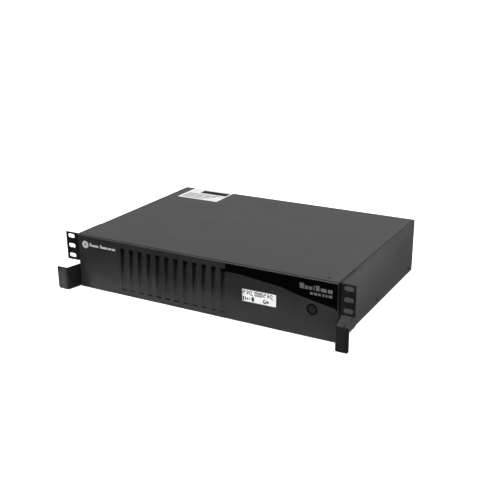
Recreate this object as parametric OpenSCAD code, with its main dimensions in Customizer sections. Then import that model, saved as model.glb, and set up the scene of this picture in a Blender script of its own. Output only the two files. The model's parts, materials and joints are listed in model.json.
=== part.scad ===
// Two-unit rack-mount uninterruptible power supply, built as an assembly.
// Millimetres. X runs to the right, Y to the back and Z up.
// The origin is the bottom centre of the whole unit.

/* [Chassis] */
// Width over the side walls
body_w = 438; // [437:0.5:438.5]
// Height of the steel case
body_h = 86.5; // [86.3:0.1:87]
// Depth from the bezel face to the rear panel
body_d = 312; // [311:1:330]
// Sheet thickness of the case
sheet = 1.2; // [1:0.1:1.4]
// Gap between the cover and each side wall
seam = 1.2; // [0.6:0.1:1.4]

/* [Rack brackets] */
// Distance between the left and right slot centres
slot_span = 465.1; // [464.5:0.1:465.5]
// Distance between slots up an ear
slot_pitch = 15.875; // [15.8:0.005:15.9]
// Length of a slot
slot_len = 13.6; // [10:0.1:14]
// Height of a slot
slot_h = 6.8; // [6.5:0.1:7.2]
// Height of the middle slot above the case bottom
slot_mid = 65.5; // [65:0.1:66]
// Width over the two ears
ear_span = 484.8; // [482:0.2:486]
// Thickness of the bracket sheet
ear_t = 2; // [1.8:0.1:2.2]
// How far the handle plate stands out in front of the bezel
handle_reach = 23.5; // [20:0.5:30]
// Width over the two handle plates
handle_span = 487.8; // [486:0.2:490]
// Height of a handle plate's top edge
handle_top = 37.1; // [34:0.1:38]

/* [Bezel] */
// Wall thickness of the bezel's front
bezel_t = 2.6; // [2.4:0.1:2.8]
// Number of vent chutes
chute_count = 12; // [8:1:12]
// Distance between chutes
chute_pitch = 16; // [14:0.5:16]
// Width of a chute
chute_w = 8; // [5:0.5:9]
// Centre of the leftmost chute
chute_x = -133.4; // [-136:0.1:-132]
// Top of the chutes
chute_top = 76.5; // [74:0.5:78]
// Bottom of the chutes
chute_low = 13; // [12:0.5:15]

/* [Display] */
// Width of the window's opening
window_w = 53.7; // [50:0.1:56]
// Height of the window's opening
window_h = 18.9; // [17:0.1:20]
// Centre of the window across the unit
window_x = 99.85; // [99:0.05:101]
// Centre of the window above the case bottom
window_z = 42.65; // [42:0.05:44]
// Centre of the power button across the unit
key_x = 181; // [180:0.1:183]
// Radius of the power button over its sunk rim
key_r = 7.9; // [7:0.1:8]

/* [Batteries] */
// Length of one battery
cell_l = 151; // [148:0.5:151]
// Width of one battery
cell_w = 94; // [90:0.5:94]
// Thickness of one battery
cell_t = 65; // [60:0.5:65]

/* [Fan] */
// Side of the fan's square frame
fan_size = 80; // [80:0.5:80.5]
// Centre of the fan across the unit
fan_x = 165; // [164:0.5:168]
// Number of fan blades
blade_count = 7; // [5:1:9]

/* [Rear sockets] */
// Distance between outlets along a row
outlet_pitch = 36; // [34:0.5:37]
// Height of the lower row
outlet_low = 22; // [20:0.5:23]
// Height of the upper row
outlet_high = 60; // [58:0.5:62]

/* [Hidden] */
rear_out = 6.5; // how far the rear-most screws stand out
ear_low = 42.6; // bottom edge of an ear
ear_top = 87.4; // top edge of an ear
edge_back = 3.5; // the case's front edge behind the bezel face
hw = body_w / 2;
bezel_gap = edge_back - bezel_t; // between the bezel's back edge and the case
bezel_end = hw - 1.3; // half the bezel's length
rim_drop = 1; // how far the bezel's top falls towards the case
pad_out = 0.2; // how far the display side stands out of the bezel
pad_x = [46.9, 217.3];
bulk_back = 22; // the bulkhead behind the bezel face
total_d = handle_reach + body_d + rear_out;
y_grip = -total_d / 2;
y_face = y_grip + handle_reach;
y_edge = y_face + edge_back;
y_rear = y_face + body_d;
y_in = y_rear - sheet; // inner face of the rear panel
y_bulk = y_face + bulk_back;
y_pane = y_face + bezel_t; // back of the bezel's front wall
y_ear = y_face + 1.3; // front of the ears
deck = body_h - sheet; // underside of the cover
lip_w = 24; // width of the side walls' turned-in lips
run = 0.05; // running clearance of a round joint
key_z = 42.2; // height of the power button
key_gap = 0.3; // around the power button
bend_r = 4; // outer radius of a bracket's bends
flange_back = 60; // end of a bracket's side flange behind the bezel face
steel = [0.20, 0.20, 0.21];
zinc = [0.72, 0.73, 0.75];
plastic = [0.15, 0.15, 0.16];
ink = [0.85, 0.85, 0.86];
grey_ink = [0.62, 0.63, 0.64];
board_green = [0.08, 0.30, 0.16];
brass = [0.80, 0.66, 0.30];
bay_x = [-156, 56];
bay_y = [y_bulk + sheet, y_bulk + 163];
bay_top = 72;
tray_x = [-154.5, 54.5];
tray_y = [y_bulk + 3, y_bulk + 160.5];
tray_z = 2.3;
plug_x = -50;
plug_z = 28;
door_x = [-166, 66];
door_screw_x = [-161.5, 61.5];
door_z = 40;
stud_x = [-205, 209];
stud_z = [12, 74];
board_y = y_face + 14; // front face of the display board
board_x = [68, 200];
board_z = [22, 64];
board_screw_x = [74, 196];
board_screw_z = [26, 60];
chute_wall = 1.4;
chute_step = 1; // depth of a chute's low end
chute_deep = 9; // depth of a chute's top end
chute_vent = 9; // height of the opening at a chute's top end
chute_end = chute_x + (chute_count - 1) * chute_pitch;
drain_z = [9.2, 11.4]; // slots under the chutes
core_x = 150;
core_y = [-95, -30];
core_z = [1.4, 81.4];
strap_bolt_x = [95, 205];
strap_bolt_y = [core_y[0] - 8, core_y[1] + 8];
fan_d = 25;
fan_z = 43.25;
fan_hole = 35.75; // fan screw distance from the fan's centre
outlet_x = [62, 62 - outlet_pitch, 62 - 2 * outlet_pitch];
outlet_z = [outlet_low, outlet_high];
inlet_x = 102;
socket_half = [13.5, 10]; // half the width and height of a mains socket's body
breaker_z = 22;
comm_z = 31.6; // top of the communication board
comm_post_x = [-116, -38];
comm_post_y = 143;
network_x = [-120, -88];
network_h = 13.5;
serial_x = [-79, -61];
serial_h = 12;
usb_x = [-50, -38];
usb_h = 11.2;
off_x = -70; // emergency-off port
off_z = 62;
slot_x = -168;
slot_z = 43;
slot_half = [32, 17]; // half the accessory slot's opening
slot_screw_x = [-37, 37];
earth_x = -112;
earth_z = 14;
main_z = 13.6; // top of the main board
board_post_x = [-202, -60, 89];
board_post_y = [56, 130];
heatsink_y = [66, 104];
bracket_screw_y = [y_face + 19.4, y_face + 44.5];
bracket_screw_z = [18.5, 67.5];
wall_screw_y = [y_face + 148.7, y_face + 293.8];
wall_screw_z = 8;
cover_screw_x = [-208, 199];
cover_screw_y = y_face + 13;
rear_screw_x = [-190, -60, 90];
rear_screw_z = 78;

// Shapes used many times

// A box between pairs of limits
module block(x, y, z) {
    translate([x[0], y[0], z[0]])
        cube([x[1] - x[0], y[1] - y[0], z[1] - z[0]]);
}

// A round bar along Y
module bar_y(r, y, x, z) {
    translate([x, y[0], z])
        rotate([-90, 0, 0])
            cylinder(r = r, h = y[1] - y[0], $fn = 48);
}

// A round bar along X
module bar_x(r, x, y, z) {
    translate([x[0], y, z])
        rotate([0, 90, 0])
            cylinder(r = r, h = x[1] - x[0], $fn = 32);
}

// A round bar along Z
module bar_z(r, z, x, y) {
    translate([x, y, z[0]])
        cylinder(r = r, h = z[1] - z[0], $fn = 48);
}

// An outline in X and Z, drawn out along Y
module along_y(y) {
    translate([0, y[1], 0])
        rotate([90, 0, 0])
            linear_extrude(y[1] - y[0])
                children();
}

// An outline in Y and Z, drawn out along X
module along_x(x) {
    translate([x[0], 0, 0])
        rotate([90, 0, 90])
            linear_extrude(x[1] - x[0])
                children();
}

// The same piece on the right and mirrored on the left
module both_sides() {
    children();
    mirror([1, 0, 0])
        children();
}

// Outline of the cross recess in a screw head
module cross_shape(w) {
    for (a = [0, 90])
        rotate(a)
            square([w, w * 0.24], center = true);
}

// A screw along Y whose head sits behind the face at y
module rear_screw(x, z, y, head_r, head_h, shank_r, shank_l) {
    difference() {
        bar_y(head_r, [y, y + head_h], x, z);
        along_y([y + head_h * 0.5, y + head_h + 1])
            translate([x, z])
                cross_shape(head_r * 1.3);
    }
    bar_y(shank_r, [y - shank_l, y], x, z);
}

// A bent lead through a list of points
module lead(points, r) {
    for (i = [0 : len(points) - 2])
        hull() {
            translate(points[i])
                sphere(r = r, $fn = 8);
            translate(points[i + 1])
                sphere(r = r, $fn = 8);
        }
}

// Points of an arc, from one angle to the other
function arc(centre, r, from, to, n) = [for (i = [0 : n])
    centre + r * [cos(from + (to - from) * i / n), sin(from + (to - from) * i / n)]];

// Points of a cubic curve
function curve_at(p, t) = pow(1 - t, 3) * p[0] + 3 * t * pow(1 - t, 2) * p[1]
    + 3 * t * t * (1 - t) * p[2] + pow(t, 3) * p[3];
function curve(p, n) = [for (i = [0 : n]) curve_at(p, i / n)];

// Case

module wall_holes() {
    for (y = bracket_screw_y)
        for (z = bracket_screw_z)
            bar_x(1.6, [hw - 3, hw + 4], y, z);
    for (y = wall_screw_y)
        bar_x(1.6, [hw - 3, hw + 4], y, wall_screw_z);
}

module chassis_base() color(steel) {
    difference() {
        union() {
            block([-hw, hw], [y_edge, y_rear], [0, sheet]);
            both_sides()
                block([hw - sheet, hw], [y_edge, y_rear], [sheet, body_h]);
            both_sides()
                block([hw - lip_w, hw - sheet], [y_edge, y_in], [deck - sheet, deck]);
        }
        both_sides()
            wall_holes();
        for (x = cover_screw_x)
            bar_z(1.6, [deck - 3, deck + 1], x, cover_screw_y);
        for (x = strap_bolt_x)
            for (y = strap_bolt_y)
                bar_z(2.1, [-1, 2], x, y);
        for (x = [fan_x - 30 : 10 : fan_x + 30])
            block([x - 2, x + 2], [40, 90], [-1, 2]);
    }
}

// A flat cover with a soft seal along its sides and its front
module top_cover() color(steel) {
    cover_w = hw - sheet - seam;
    space = 0.1; // between the seal and the sheet round it
    seal_top = body_h - 0.8;
    seal_w = hw - sheet - space;
    difference() {
        union() {
            block([-cover_w, cover_w], [y_edge, y_rear], [deck, body_h]);
            block([-seal_w, seal_w], [y_edge - bezel_gap + space, y_rear], [deck, seal_top]);
        }
        for (x = cover_screw_x)
            translate([x, cover_screw_y, deck - 0.01])
                cylinder(r1 = 1.6, r2 = 3.1, h = sheet + 0.02, $fn = 32);
    }
    difference() {
        block([-hw + lip_w + 2, 112], [y_in - sheet, y_in], [rear_screw_z - 6, deck]);
        for (x = rear_screw_x)
            bar_y(1.6, [y_in - 3, y_in + 1], x, rear_screw_z);
    }
}

// Openings in the rear panel, a little larger than what sits in them
module socket_hole(x, z, y) {
    half = socket_half + [0.1, 0.1];
    block([x - half[0], x + half[0]], y, [z - half[1], z + half[1]]);
}
module port_hole(x, h, y) {
    block([x[0] - 0.2, x[1] + 0.2], y, [comm_z - 0.2, comm_z + h + 0.2]);
}

module rear_panel() color(steel) {
    y = [y_in - 1, y_rear + 1];
    difference() {
        block([-hw + sheet, hw - sheet], [y_in, y_rear], [sheet, deck]);
        bar_y(fan_size / 2 - 1.5, y, fan_x, fan_z);
        for (dx = [-fan_hole, fan_hole])
            for (dz = [-fan_hole, fan_hole])
                bar_y(2.1, y, fan_x + dx, fan_z + dz);
        for (x = outlet_x)
            for (z = outlet_z)
                socket_hole(x, z, y);
        socket_hole(inlet_x, outlet_high, y);
        bar_y(6, y, inlet_x, breaker_z);
        port_hole(network_x, network_h, y);
        port_hole(serial_x, serial_h, y);
        port_hole(usb_x, usb_h, y);
        block([off_x - 6.2, off_x + 6.2], y, [off_z - 4.2, off_z + 4.2]);
        block([slot_x - slot_half[0], slot_x + slot_half[0]], y,
            [slot_z - slot_half[1], slot_z + slot_half[1]]);
        for (dx = slot_screw_x)
            bar_y(1.6, y, slot_x + dx, slot_z);
        bar_y(2.1, y, earth_x, earth_z);
        for (x = rear_screw_x)
            bar_y(1.6, y, x, rear_screw_z);
    }
}

// Countersunk screws in the cover, and flat-headed screws in the rear panel and the side walls
module case_screws() color(zinc) {
    for (x = cover_screw_x)
        translate([x, cover_screw_y, 0]) {
            difference() {
                translate([0, 0, deck])
                    cylinder(r1 = 1.55, r2 = 3, h = sheet - 0.05, $fn = 32);
                translate([0, 0, body_h - 0.8])
                    linear_extrude(2)
                        cross_shape(3.8);
            }
            bar_z(1.5, [deck - 4, deck], 0, 0);
        }
    for (x = rear_screw_x)
        rear_screw(x, rear_screw_z, y_rear, 3, 1.8, 1.5, 5);
    both_sides()
        for (y = wall_screw_y) {
            bar_x(2.6, [hw, hw + 0.9], y, wall_screw_z);
            bar_x(1.5, [hw - 5, hw], y, wall_screw_z);
        }
}

// Rack brackets

// The side flange, in plan, up to the start of a bend
function flange_start(y) = [[hw, y_face + flange_back], [hw, y]];
function flange_end(y) = [[hw + ear_t, y], [hw + ear_t, y_face + flange_back]];

// Plan of the handle plate: it leans outwards on its way forward, then turns along the grip
module handle_outline() {
    lean = 5.7; // sideways lean of the plate
    y_lean = y_edge - 1; // where the lean starts
    slant = atan(lean / (y_lean - y_grip));
    tangent = bend_r * tan((90 - slant) / 2);
    centre = [hw + lean + tangent, y_grip + bend_r];
    polygon(concat(flange_start(y_lean),
        arc(centre, bend_r, 180 + slant, 270, 8),
        [[handle_span / 2, y_grip], [handle_span / 2, y_grip + ear_t]],
        arc(centre, bend_r - ear_t, 270, 180 + slant, 8),
        flange_end(y_lean - ear_t * tan(slant / 2))));
}

// Plan of the ear
module ear_outline() {
    centre = [hw + bend_r, y_ear + bend_r];
    polygon(concat(flange_start(centre[1]), arc(centre, bend_r, 180, 270, 8),
        [[ear_span / 2, y_ear], [ear_span / 2, y_ear + ear_t]],
        arc(centre, bend_r - ear_t, 270, 180, 8), flange_end(centre[1])));
}

module ear_slot(z) {
    half = (slot_len - slot_h) / 2;
    y = [y_ear - 1, y_ear + ear_t + 1];
    for (dx = [-half, half])
        bar_y(slot_h / 2, y, slot_span / 2 + dx, z);
    block([slot_span / 2 - half, slot_span / 2 + half], y, [z - slot_h / 2, z + slot_h / 2]);
}

// What is taken off a corner at x and z to round it, on the side the signs point to
module corner_cut(r, y, x, z, side) {
    along_y(y)
        difference() {
            translate([x + (side[0] > 0 ? -r : -1), z + (side[1] > 0 ? -r : -1)])
                square(r + 1);
            translate([x - side[0] * r, z - side[1] * r])
                circle(r = r, $fn = 48);
        }
}

module rack_ear() {
    low = 1; // bottom edge of the bracket
    grip_y = [y_grip - 1, y_grip + ear_t + 1];
    notch = 3; // cut off the ear's inner top corner
    difference() {
        union() {
            translate([0, 0, low])
                linear_extrude(handle_top - low)
                    handle_outline();
            translate([0, 0, ear_low])
                linear_extrude(ear_top - ear_low)
                    ear_outline();
            block([hw, hw + ear_t], [y_ear + bend_r, y_face + flange_back],
                [handle_top - 1, ear_low + 1]);
        }
        for (i = [-1 : 1])
            ear_slot(slot_mid + i * slot_pitch);
        for (y = bracket_screw_y)
            for (z = bracket_screw_z)
                translate([hw, y, z])
                    rotate([0, 90, 0])
                        cylinder(r1 = 1.6, r2 = 3.7, h = ear_t + 0.01, $fn = 32);
        corner_cut(3, grip_y, handle_span / 2, low, [1, -1]);
        corner_cut(1.5, grip_y, handle_span / 2, handle_top, [1, 1]);
        along_y([y_ear - 1, y_face + flange_back + 1])
            polygon([[hw - 1, ear_top + 1], [hw - 1, ear_top - notch - 1],
                [hw + notch + 1, ear_top + 1]]);
    }
}

module rack_ear_right() color(steel)
    rack_ear();

module rack_ear_left() color(steel)
    mirror([1, 0, 0])
        rack_ear();

module ear_screws() color(zinc) {
    both_sides()
        for (y = bracket_screw_y)
            for (z = bracket_screw_z) {
                difference() {
                    translate([hw, y, z])
                        rotate([0, 90, 0])
                            cylinder(r1 = 1.5, r2 = 3.55, h = ear_t - 0.05, $fn = 32);
                    along_x([hw + 0.8, hw + 3])
                        translate([y, z])
                            cross_shape(4.4);
                }
                bar_x(1.5, [hw - 6, hw], y, z);
            }
}

// Front bulkhead and battery bay

module front_bulkhead() color(zinc) {
    y = [y_bulk - 1, y_bulk + 3];
    difference() {
        block([-hw + sheet, hw - sheet], [y_bulk, y_bulk + sheet], [sheet, deck - sheet]);
        block([bay_x[0], bay_x[1]], y, [0, 70.5]);
        for (x = [-148 : 10 : 50])
            block([x - 3, x + 3], y, [75.5, 81.5]);
        for (x = door_screw_x)
            bar_y(2.1, y, x, door_z);
        for (x = stud_x)
            for (z = stud_z)
                bar_y(1.5, y, x, z);
        for (x = [84 : 12 : 192])
            for (z = [20, 32, 52, 64])
                bar_y(3, y, x, z);
        for (x = board_screw_x)
            for (z = board_screw_z)
                bar_y(1.2, y, x, z);
    }
}

module bezel_studs() color(plastic) {
    for (x = stud_x)
        for (z = stud_z) {
            bar_y(1.5, [y_bulk - 8.5, y_bulk + 3], x, z);
            translate([x, y_bulk - 9, z])
                sphere(r = 3, $fn = 32);
            difference() {
                bar_y(3.4, [y_bulk - 1.4, y_bulk], x, z);
                bar_y(1.4, [y_bulk - 1.4, y_bulk], x, z);
            }
        }
}

module battery_bay() color(zinc) {
    difference() {
        block([bay_x[0] - sheet, bay_x[1] + sheet], bay_y, [sheet, bay_top + sheet]);
        block(bay_x, [bay_y[0] - 1, bay_y[1] - sheet], [0, bay_top]);
        block([plug_x - 16, plug_x + 16], [bay_y[1] - 3, bay_y[1] + 1], [plug_z - 9, plug_z + 9]);
        for (y = [bay_y[0] + 20 : 24 : bay_y[1] - 20])
            block([bay_x[0] - 3, bay_x[1] + 3], [y - 6, y + 6], [52, 56]);
    }
}

module tray_runners() color([0.9, 0.9, 0.88]) {
    for (x = [bay_x[0] + 14, -50, bay_x[1] - 14])
        block([x - 5, x + 5], [bay_y[0] + 1, bay_y[1] - sheet - 1], [sheet, tray_z - 0.1]);
}

module battery_socket() color([0.35, 0.36, 0.38]) {
    difference() {
        block([plug_x - 19, plug_x + 19], [bay_y[1], bay_y[1] + 18], [plug_z - 11, plug_z + 11]);
        block([plug_x - 15.4, plug_x + 15.4], [bay_y[1] - 1, bay_y[1] + 13],
            [plug_z - 8.4, plug_z + 8.4]);
    }
}

// Display and power button

module display_board() color(board_green) {
    difference() {
        block(board_x, [board_y, board_y + 1.6], board_z);
        for (x = board_screw_x)
            for (z = board_screw_z)
                bar_y(1.3, [board_y - 1, board_y + 3], x, z);
    }
}

module display_posts() color(zinc) {
    for (x = board_screw_x)
        for (z = board_screw_z) {
            bar_y(2.4, [board_y + 1.6, y_bulk], x, z);
            bar_y(1.2, [board_y - 0.2, y_bulk + 2], x, z);
            bar_y(2.4, [board_y - 1.8, board_y], x, z);
        }
}

module lcd_module() color([0.10, 0.10, 0.10]) {
    difference() {
        block([window_x - 33, window_x + 33], [y_pane + 0.9, board_y], [window_z - 16, window_z + 16]);
        block([window_x - 28.2, window_x + 28.2], [y_pane, y_pane + 2.4],
            [window_z - 10.8, window_z + 10.8]);
        for (z = board_screw_z)
            bar_y(2.6, [board_y - 3, board_y + 1], board_screw_x[0], z);
    }
}

module lcd_screen() color([0.93, 0.95, 0.97]) {
    block([window_x - 28, window_x + 28], [y_pane + 1.1, y_pane + 2.4],
        [window_z - 10.6, window_z + 10.6]);
}

// The seven strokes of a digit are numbered from the top, clockwise, with the middle one last
function strokes(d) = d == 2 ? [0, 1, 3, 4, 6] : d == 3 ? [0, 1, 2, 3, 6] : [0, 1, 2, 3, 4, 5];

module stroke(i, w, h) {
    t = 0.85; // stroke thickness
    if (i == 0 || i == 3 || i == 6) {
        z = i == 0 ? h - t : i == 3 ? 0 : (h - t) / 2;
        translate([t, z])
            square([w - 2 * t, t]);
    } else {
        x = i == 1 || i == 2 ? w - t : 0;
        z = i == 1 || i == 5 ? h / 2 + 0.1 : t;
        translate([x, z])
            square([t, h / 2 - t - 0.1]);
    }
}

// Leaning digits
module number(digits, x, z) {
    lean = 0.14;
    for (i = [0 : len(digits) - 1])
        translate([x + i * 5.2, z])
            multmatrix([[1, lean, 0, 0], [0, 1, 0, 0], [0, 0, 1, 0], [0, 0, 0, 1]])
                for (s = strokes(digits[i]))
                    stroke(s, 3.6, 5.8);
}

module lcd_segments() color([0.08, 0.09, 0.10]) {
    left = window_x - 27.6;
    low = window_z - 8.7;
    bar_mid = low + 2.7; // middle of the level bars
    along_y([y_pane + 0.9, y_pane + 1.1]) {
        for (x = [0, 32.4]) {
            number([2, 3, 0], left + x, low + 9.4);
            translate([left + x + 13.2, low + 8])
                square([3.2, 0.7]);
        }
        for (i = [0 : 4])
            for (z = [8.4, 12])
                translate([left + 19.2 + i * 2.6, low + z])
                    difference() {
                        square([2.3, 2.8]);
                        translate([0.7, 0.7])
                            square([0.9, 1.4]);
                    }
        for (i = [0 : 3])
            translate([left + 0.6 + i * 3.25, bar_mid - (6 - i * 1.5) / 2])
                square([1.5, 6 - i * 1.5]);
        for (z = [0, 3])
            translate([left + 14.4, low + z])
                square([3.6, 2.5]);
        translate([left + 15.4, low + 5.5])
            square([1.6, 1]);
        translate([left + 35.2, low + 3.2])
            difference() {
                circle(r = 2.9, $fn = 32);
                circle(r = 2.3, $fn = 32);
            }
        translate([left + 33.9, low + 0.2])
            square([2.7, 1.9]);
        translate([left + 38.6, low + 1.4])
            square([2.4, 2.8]);
    }
}

module key_switch() color([0.12, 0.12, 0.12]) {
    block([key_x - 3, key_x + 3], [board_y - 3.5, board_y], [key_z - 3, key_z + 3]);
    bar_y(1.7, [board_y - 5, board_y - 3.5], key_x, key_z);
}

// A dished cap with a sunk rim, a flange behind the bezel and a stem to the switch
module power_button() color([0.10, 0.10, 0.11]) {
    cap_r = 5.8;
    dish = 0.7; // depth of the dish
    ball = (pow(cap_r - 0.4, 2) + dish * dish) / (2 * dish);
    front = y_face + 0.2;
    difference() {
        bar_y(cap_r, [front, y_pane], key_x, key_z);
        translate([key_x, front + dish - ball, key_z])
            sphere(r = ball, $fn = 96);
    }
    bar_y(key_r, [y_face + 2.2, y_pane + 0.3], key_x, key_z);
    bar_y(9, [y_pane + 0.2, y_pane + 1.2], key_x, key_z);
    bar_y(2.5, [y_pane + 1, board_y - 6.6], key_x, key_z);
}

module button_spring() color(zinc) {
    y0 = y_pane + 1.5;
    turns = 3;
    steps = 14; // steps in one turn
    rise = (board_y - 6 - 0.4 - y0) / (turns * steps);
    turn = 360 / steps;
    lead([for (i = [0 : turns * steps])
        [key_x + 4.5 * cos(i * turn), y0 + i * rise, key_z + 4.5 * sin(i * turn)]], 0.35);
}

// Bezel

module bezel_profile() {
    r = 1.3; // rounding of the long edges
    z = [0.2, body_h - 0.2];
    y = y_edge - bezel_gap; // back of the bezel's rim
    polygon([[y, z[0]], for (a = [0 : 22.5 : 90]) [y_face + r - r * sin(a), z[0] + r - r * cos(a)],
        for (a = [0 : 22.5 : 90]) [y_face + r - r * cos(a), z[1] - r + r * sin(a)],
        [y, z[1] - rim_drop]]);
}

// Points up a chute's scooped floor, which has six steps from its low end
function chute_floor(from, to, wall) = [for (i = [from : to])
    [y_face + chute_step + (chute_deep - chute_step) * pow(i / 6, 1.3) + wall,
        chute_low + (chute_top - chute_vent - chute_low) * i / 6]];

// Side view of the air path through one chute
module chute_profile() {
    back = y_face + 16;
    polygon(concat([[y_face - 1, chute_low]], chute_floor(0, 6, 0),
        [[back, chute_top - chute_vent], [back, chute_top], [y_face - 1, chute_top]]));
}

// Side view of what is left open behind the chutes
module chute_back_profile() {
    back = y_face + 16;
    wall = 2;
    z = chute_top - chute_vent - wall;
    polygon(concat([[back, 0], [y_pane, 0]], chute_floor(2, 5, wall),
        [[y_face + chute_deep + 1, z], [back, z]]));
}

module wave_outline() {
    top = 85;
    left = [[47.5, top], [46.5, top - 1], [46.5, 74.5], [47.5, 73]];
    first = curve([[52, 72.6], [78, 73.6], [108, 67.2], [133, 66.2]], 8);
    second = curve([[134, 65.9], [152, 59.6], [182, 55], [211, 50.4]], 8);
    right = curve([[212, 50.1], [215, 49.3], [217, 48], [217.3, 45.5]], 4);
    polygon(concat(left, first, second, right, [[217.3, top - 1], [216.3, top]]));
}

module front_bezel() color(plastic) {
    house_x = [chute_x - chute_w / 2 - chute_wall, chute_end + chute_w / 2 + chute_wall];
    web = (chute_pitch - chute_w) / 2 - chute_wall; // half the space between two scoops
    half_w = [window_w / 2, window_h / 2];
    flange = 1.6; // the window's hidden edge
    cage_back = board_y - 5.2;
    difference() {
        union() {
            along_x([-bezel_end, bezel_end])
                bezel_profile();
            block(pad_x, [y_face - pad_out, y_face + 0.1], [1.5, 85]);
            difference() {
                block([-hw + 2.4, hw - 2.4], [y_pane - 0.5, y_face + 10.5], [2.2, deck - 1.8]);
                block([-hw + 4.4, hw - 4.4], [y_pane - 1, y_face + 11], [4.2, deck - 3.8]);
            }
            difference() {
                block(house_x, [y_pane - 0.5, y_face + 14], [chute_low + 1, chute_top + 3.5]);
                along_x([house_x[0] - 1, house_x[1] + 1])
                    chute_back_profile();
                for (i = [1 : chute_count - 1]) {
                    x = chute_x + (i - 0.5) * chute_pitch;
                    block([x - web, x + web], [y_pane, y_face + 15], [chute_low, chute_top + 4]);
                }
            }
            for (x = stud_x)
                for (z = stud_z)
                    bar_y(4.9, [y_pane - 0.5, y_bulk - 8], x, z);
            bar_y(11.5, [y_pane - 0.5, cage_back], key_x, key_z);
        }
        for (i = [0 : chute_count - 1]) {
            x = chute_x + i * chute_pitch;
            along_x([x - chute_w / 2, x + chute_w / 2])
                chute_profile();
            block([x - 4.2, x + 4.2], [y_face - 1, y_pane + 1], drain_z);
        }
        block([window_x - half_w[0], window_x + half_w[0]], [y_face - 1, y_pane + 1],
            [window_z - half_w[1], window_z + half_w[1]]);
        block([window_x - half_w[0] - flange, window_x + half_w[0] + flange],
            [y_pane - 1, y_pane + 1], [window_z - half_w[1] - flange, window_z + half_w[1] + flange]);
        bar_y(key_r + key_gap, [y_face - 1, y_pane + 1], key_x, key_z);
        bar_y(9.4, [y_pane, cage_back - 0.8], key_x, key_z);
        bar_y(2.8, [y_pane, cage_back + 1], key_x, key_z);
        for (x = stud_x)
            for (z = stud_z)
                bar_y(3.05, [y_bulk - 13, y_bulk], x, z);
        along_y([y_face - 1, y_face + 0.8])
            wave_outline();
    }
}

module wave_panel() color([0.01, 0.01, 0.01])
    along_y([y_face - pad_out, y_face + 0.8])
        wave_outline();

module lcd_window() color([0.55, 0.6, 0.62, 0.4]) {
    gap = 0.1;
    half_w = [window_w / 2 - gap, window_h / 2 - gap];
    flange = 1.5;
    block([window_x - half_w[0], window_x + half_w[0]], [y_face + 0.3, y_pane],
        [window_z - half_w[1], window_z + half_w[1]]);
    block([window_x - half_w[0] - flange, window_x + half_w[0] + flange],
        [y_pane - 1, y_pane], [window_z - half_w[1] - flange, window_z + half_w[1] + flange]);
}

// A round badge with a plug sign, and rows of plain bars
module bezel_marks() {
    color(ink)
        along_y([y_face - 0.15, y_face]) {
            translate([-204.1, 72])
                difference() {
                    circle(r = 5.9, $fn = 48);
                    polygon([[0.6, 4], [-2.4, -0.6], [-0.3, -0.6], [-0.9, -4], [2.4, 0.8],
                        [0.3, 0.8]]);
                }
            for (w = [[-195.3, 16.6], [-175.4, 13.8], [-160.4, 6.2], [-153, 6.4]])
                translate([w[0], 70.4])
                    square([w[1], 3.1]);
            for (x = [-195.3, -175])
                translate([x, 73])
                    square([2.6, 2.8]);
        }
    color(grey_ink)
        along_y([y_face - 0.35, y_face - 0.2]) {
            for (w = [[162.3, 6.6, 7.8], [170, 4.9, 5], [176, 4.8, 5], [182.8, 1.4, 7],
                [186, 5.2, 7.6], [193, 8.4, 5], [203.2, 6.8, 5]])
                translate([w[0], 70.2])
                    square([w[1], w[2]]);
            for (w = [[177.4, 4.6], [183.4, 4.4], [189, 4.4], [195.6, 3], [200.4, 2.2],
                [204.4, 5.4]])
                translate([w[0], 63.8])
                    square([w[1], 3.6]);
        }
}

// Battery door and tray

module battery_door() color(steel) {
    y = [y_bulk - 1.5, y_bulk - 0.3];
    difference() {
        block(door_x, y, [2, 73.5]);
        for (x = door_screw_x)
            bar_y(2, [y[0] - 1, y[1] + 1], x, door_z);
        for (x = [-140 : 12 : 40])
            block([x - 2, x + 2], [y[0] - 1, y[1] + 1], [14, 62]);
    }
}

module door_screws() color(zinc) {
    y = y_bulk - 1.5;
    for (x = door_screw_x) {
        bar_y(1.95, [y, y_bulk + 4], x, door_z);
        difference() {
            bar_y(5, [y - 7, y], x, door_z);
            block([x - 4, x + 4], [y - 8, y - 6], [door_z - 0.6, door_z + 0.6]);
        }
    }
}

module battery_tray() color(zinc) {
    t = 1;
    difference() {
        block(tray_x, tray_y, [tray_z, tray_z + 40]);
        block([tray_x[0] + t, tray_x[1] - t], [tray_y[0] + t, tray_y[1] - t],
            [tray_z + t, tray_z + 60]);
        block([tray_x[0] - 1, tray_x[1] + 1], [tray_y[0] + 12, tray_y[1] - 12],
            [tray_z + 16, tray_z + 60]);
        block([-80, -20], [tray_y[0] - 1, tray_y[0] + 2], [tray_z + 22, tray_z + 34]);
        block([plug_x - 15.1, plug_x + 15.1], [tray_y[1] - 3, tray_y[1] + 1],
            [plug_z - 8.1, plug_z + 8.1]);
    }
}

module batteries() color([0.13, 0.14, 0.16]) {
    x_out = [tray_x[0] + 1.4, tray_x[1] - 1.4];
    y = [tray_y[0] + 1.6, tray_y[0] + 1.6 + cell_l];
    z = [tray_z + 1, tray_z + 1 + cell_t];
    lid = 7; // depth of the lid at the terminal end
    for (s = [0, 1])
        translate([x_out[s], 0, 0])
            mirror([s, 0, 0]) {
                block([0, cell_w - lid], y, z);
                block([cell_w - lid, cell_w - lid + 1], [y[0] + 0.8, y[1] - 0.8],
                    [z[0] + 0.8, z[1] - 0.8]);
                difference() {
                    block([cell_w - lid + 1, cell_w], y, z);
                    for (dy = [14, cell_l - 14])
                        block([cell_w - 2, cell_w + 1], [y[0] + dy - 8, y[0] + dy + 8],
                            [z[0] + 24, z[0] + 42]);
                }
                for (dy = [14, cell_l - 14])
                    block([cell_w - 2, cell_w + 4.4], [y[0] + dy - 3.2, y[0] + dy + 3.2],
                        [z[0] + 32.5, z[0] + 33.3]);
            }
}

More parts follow.
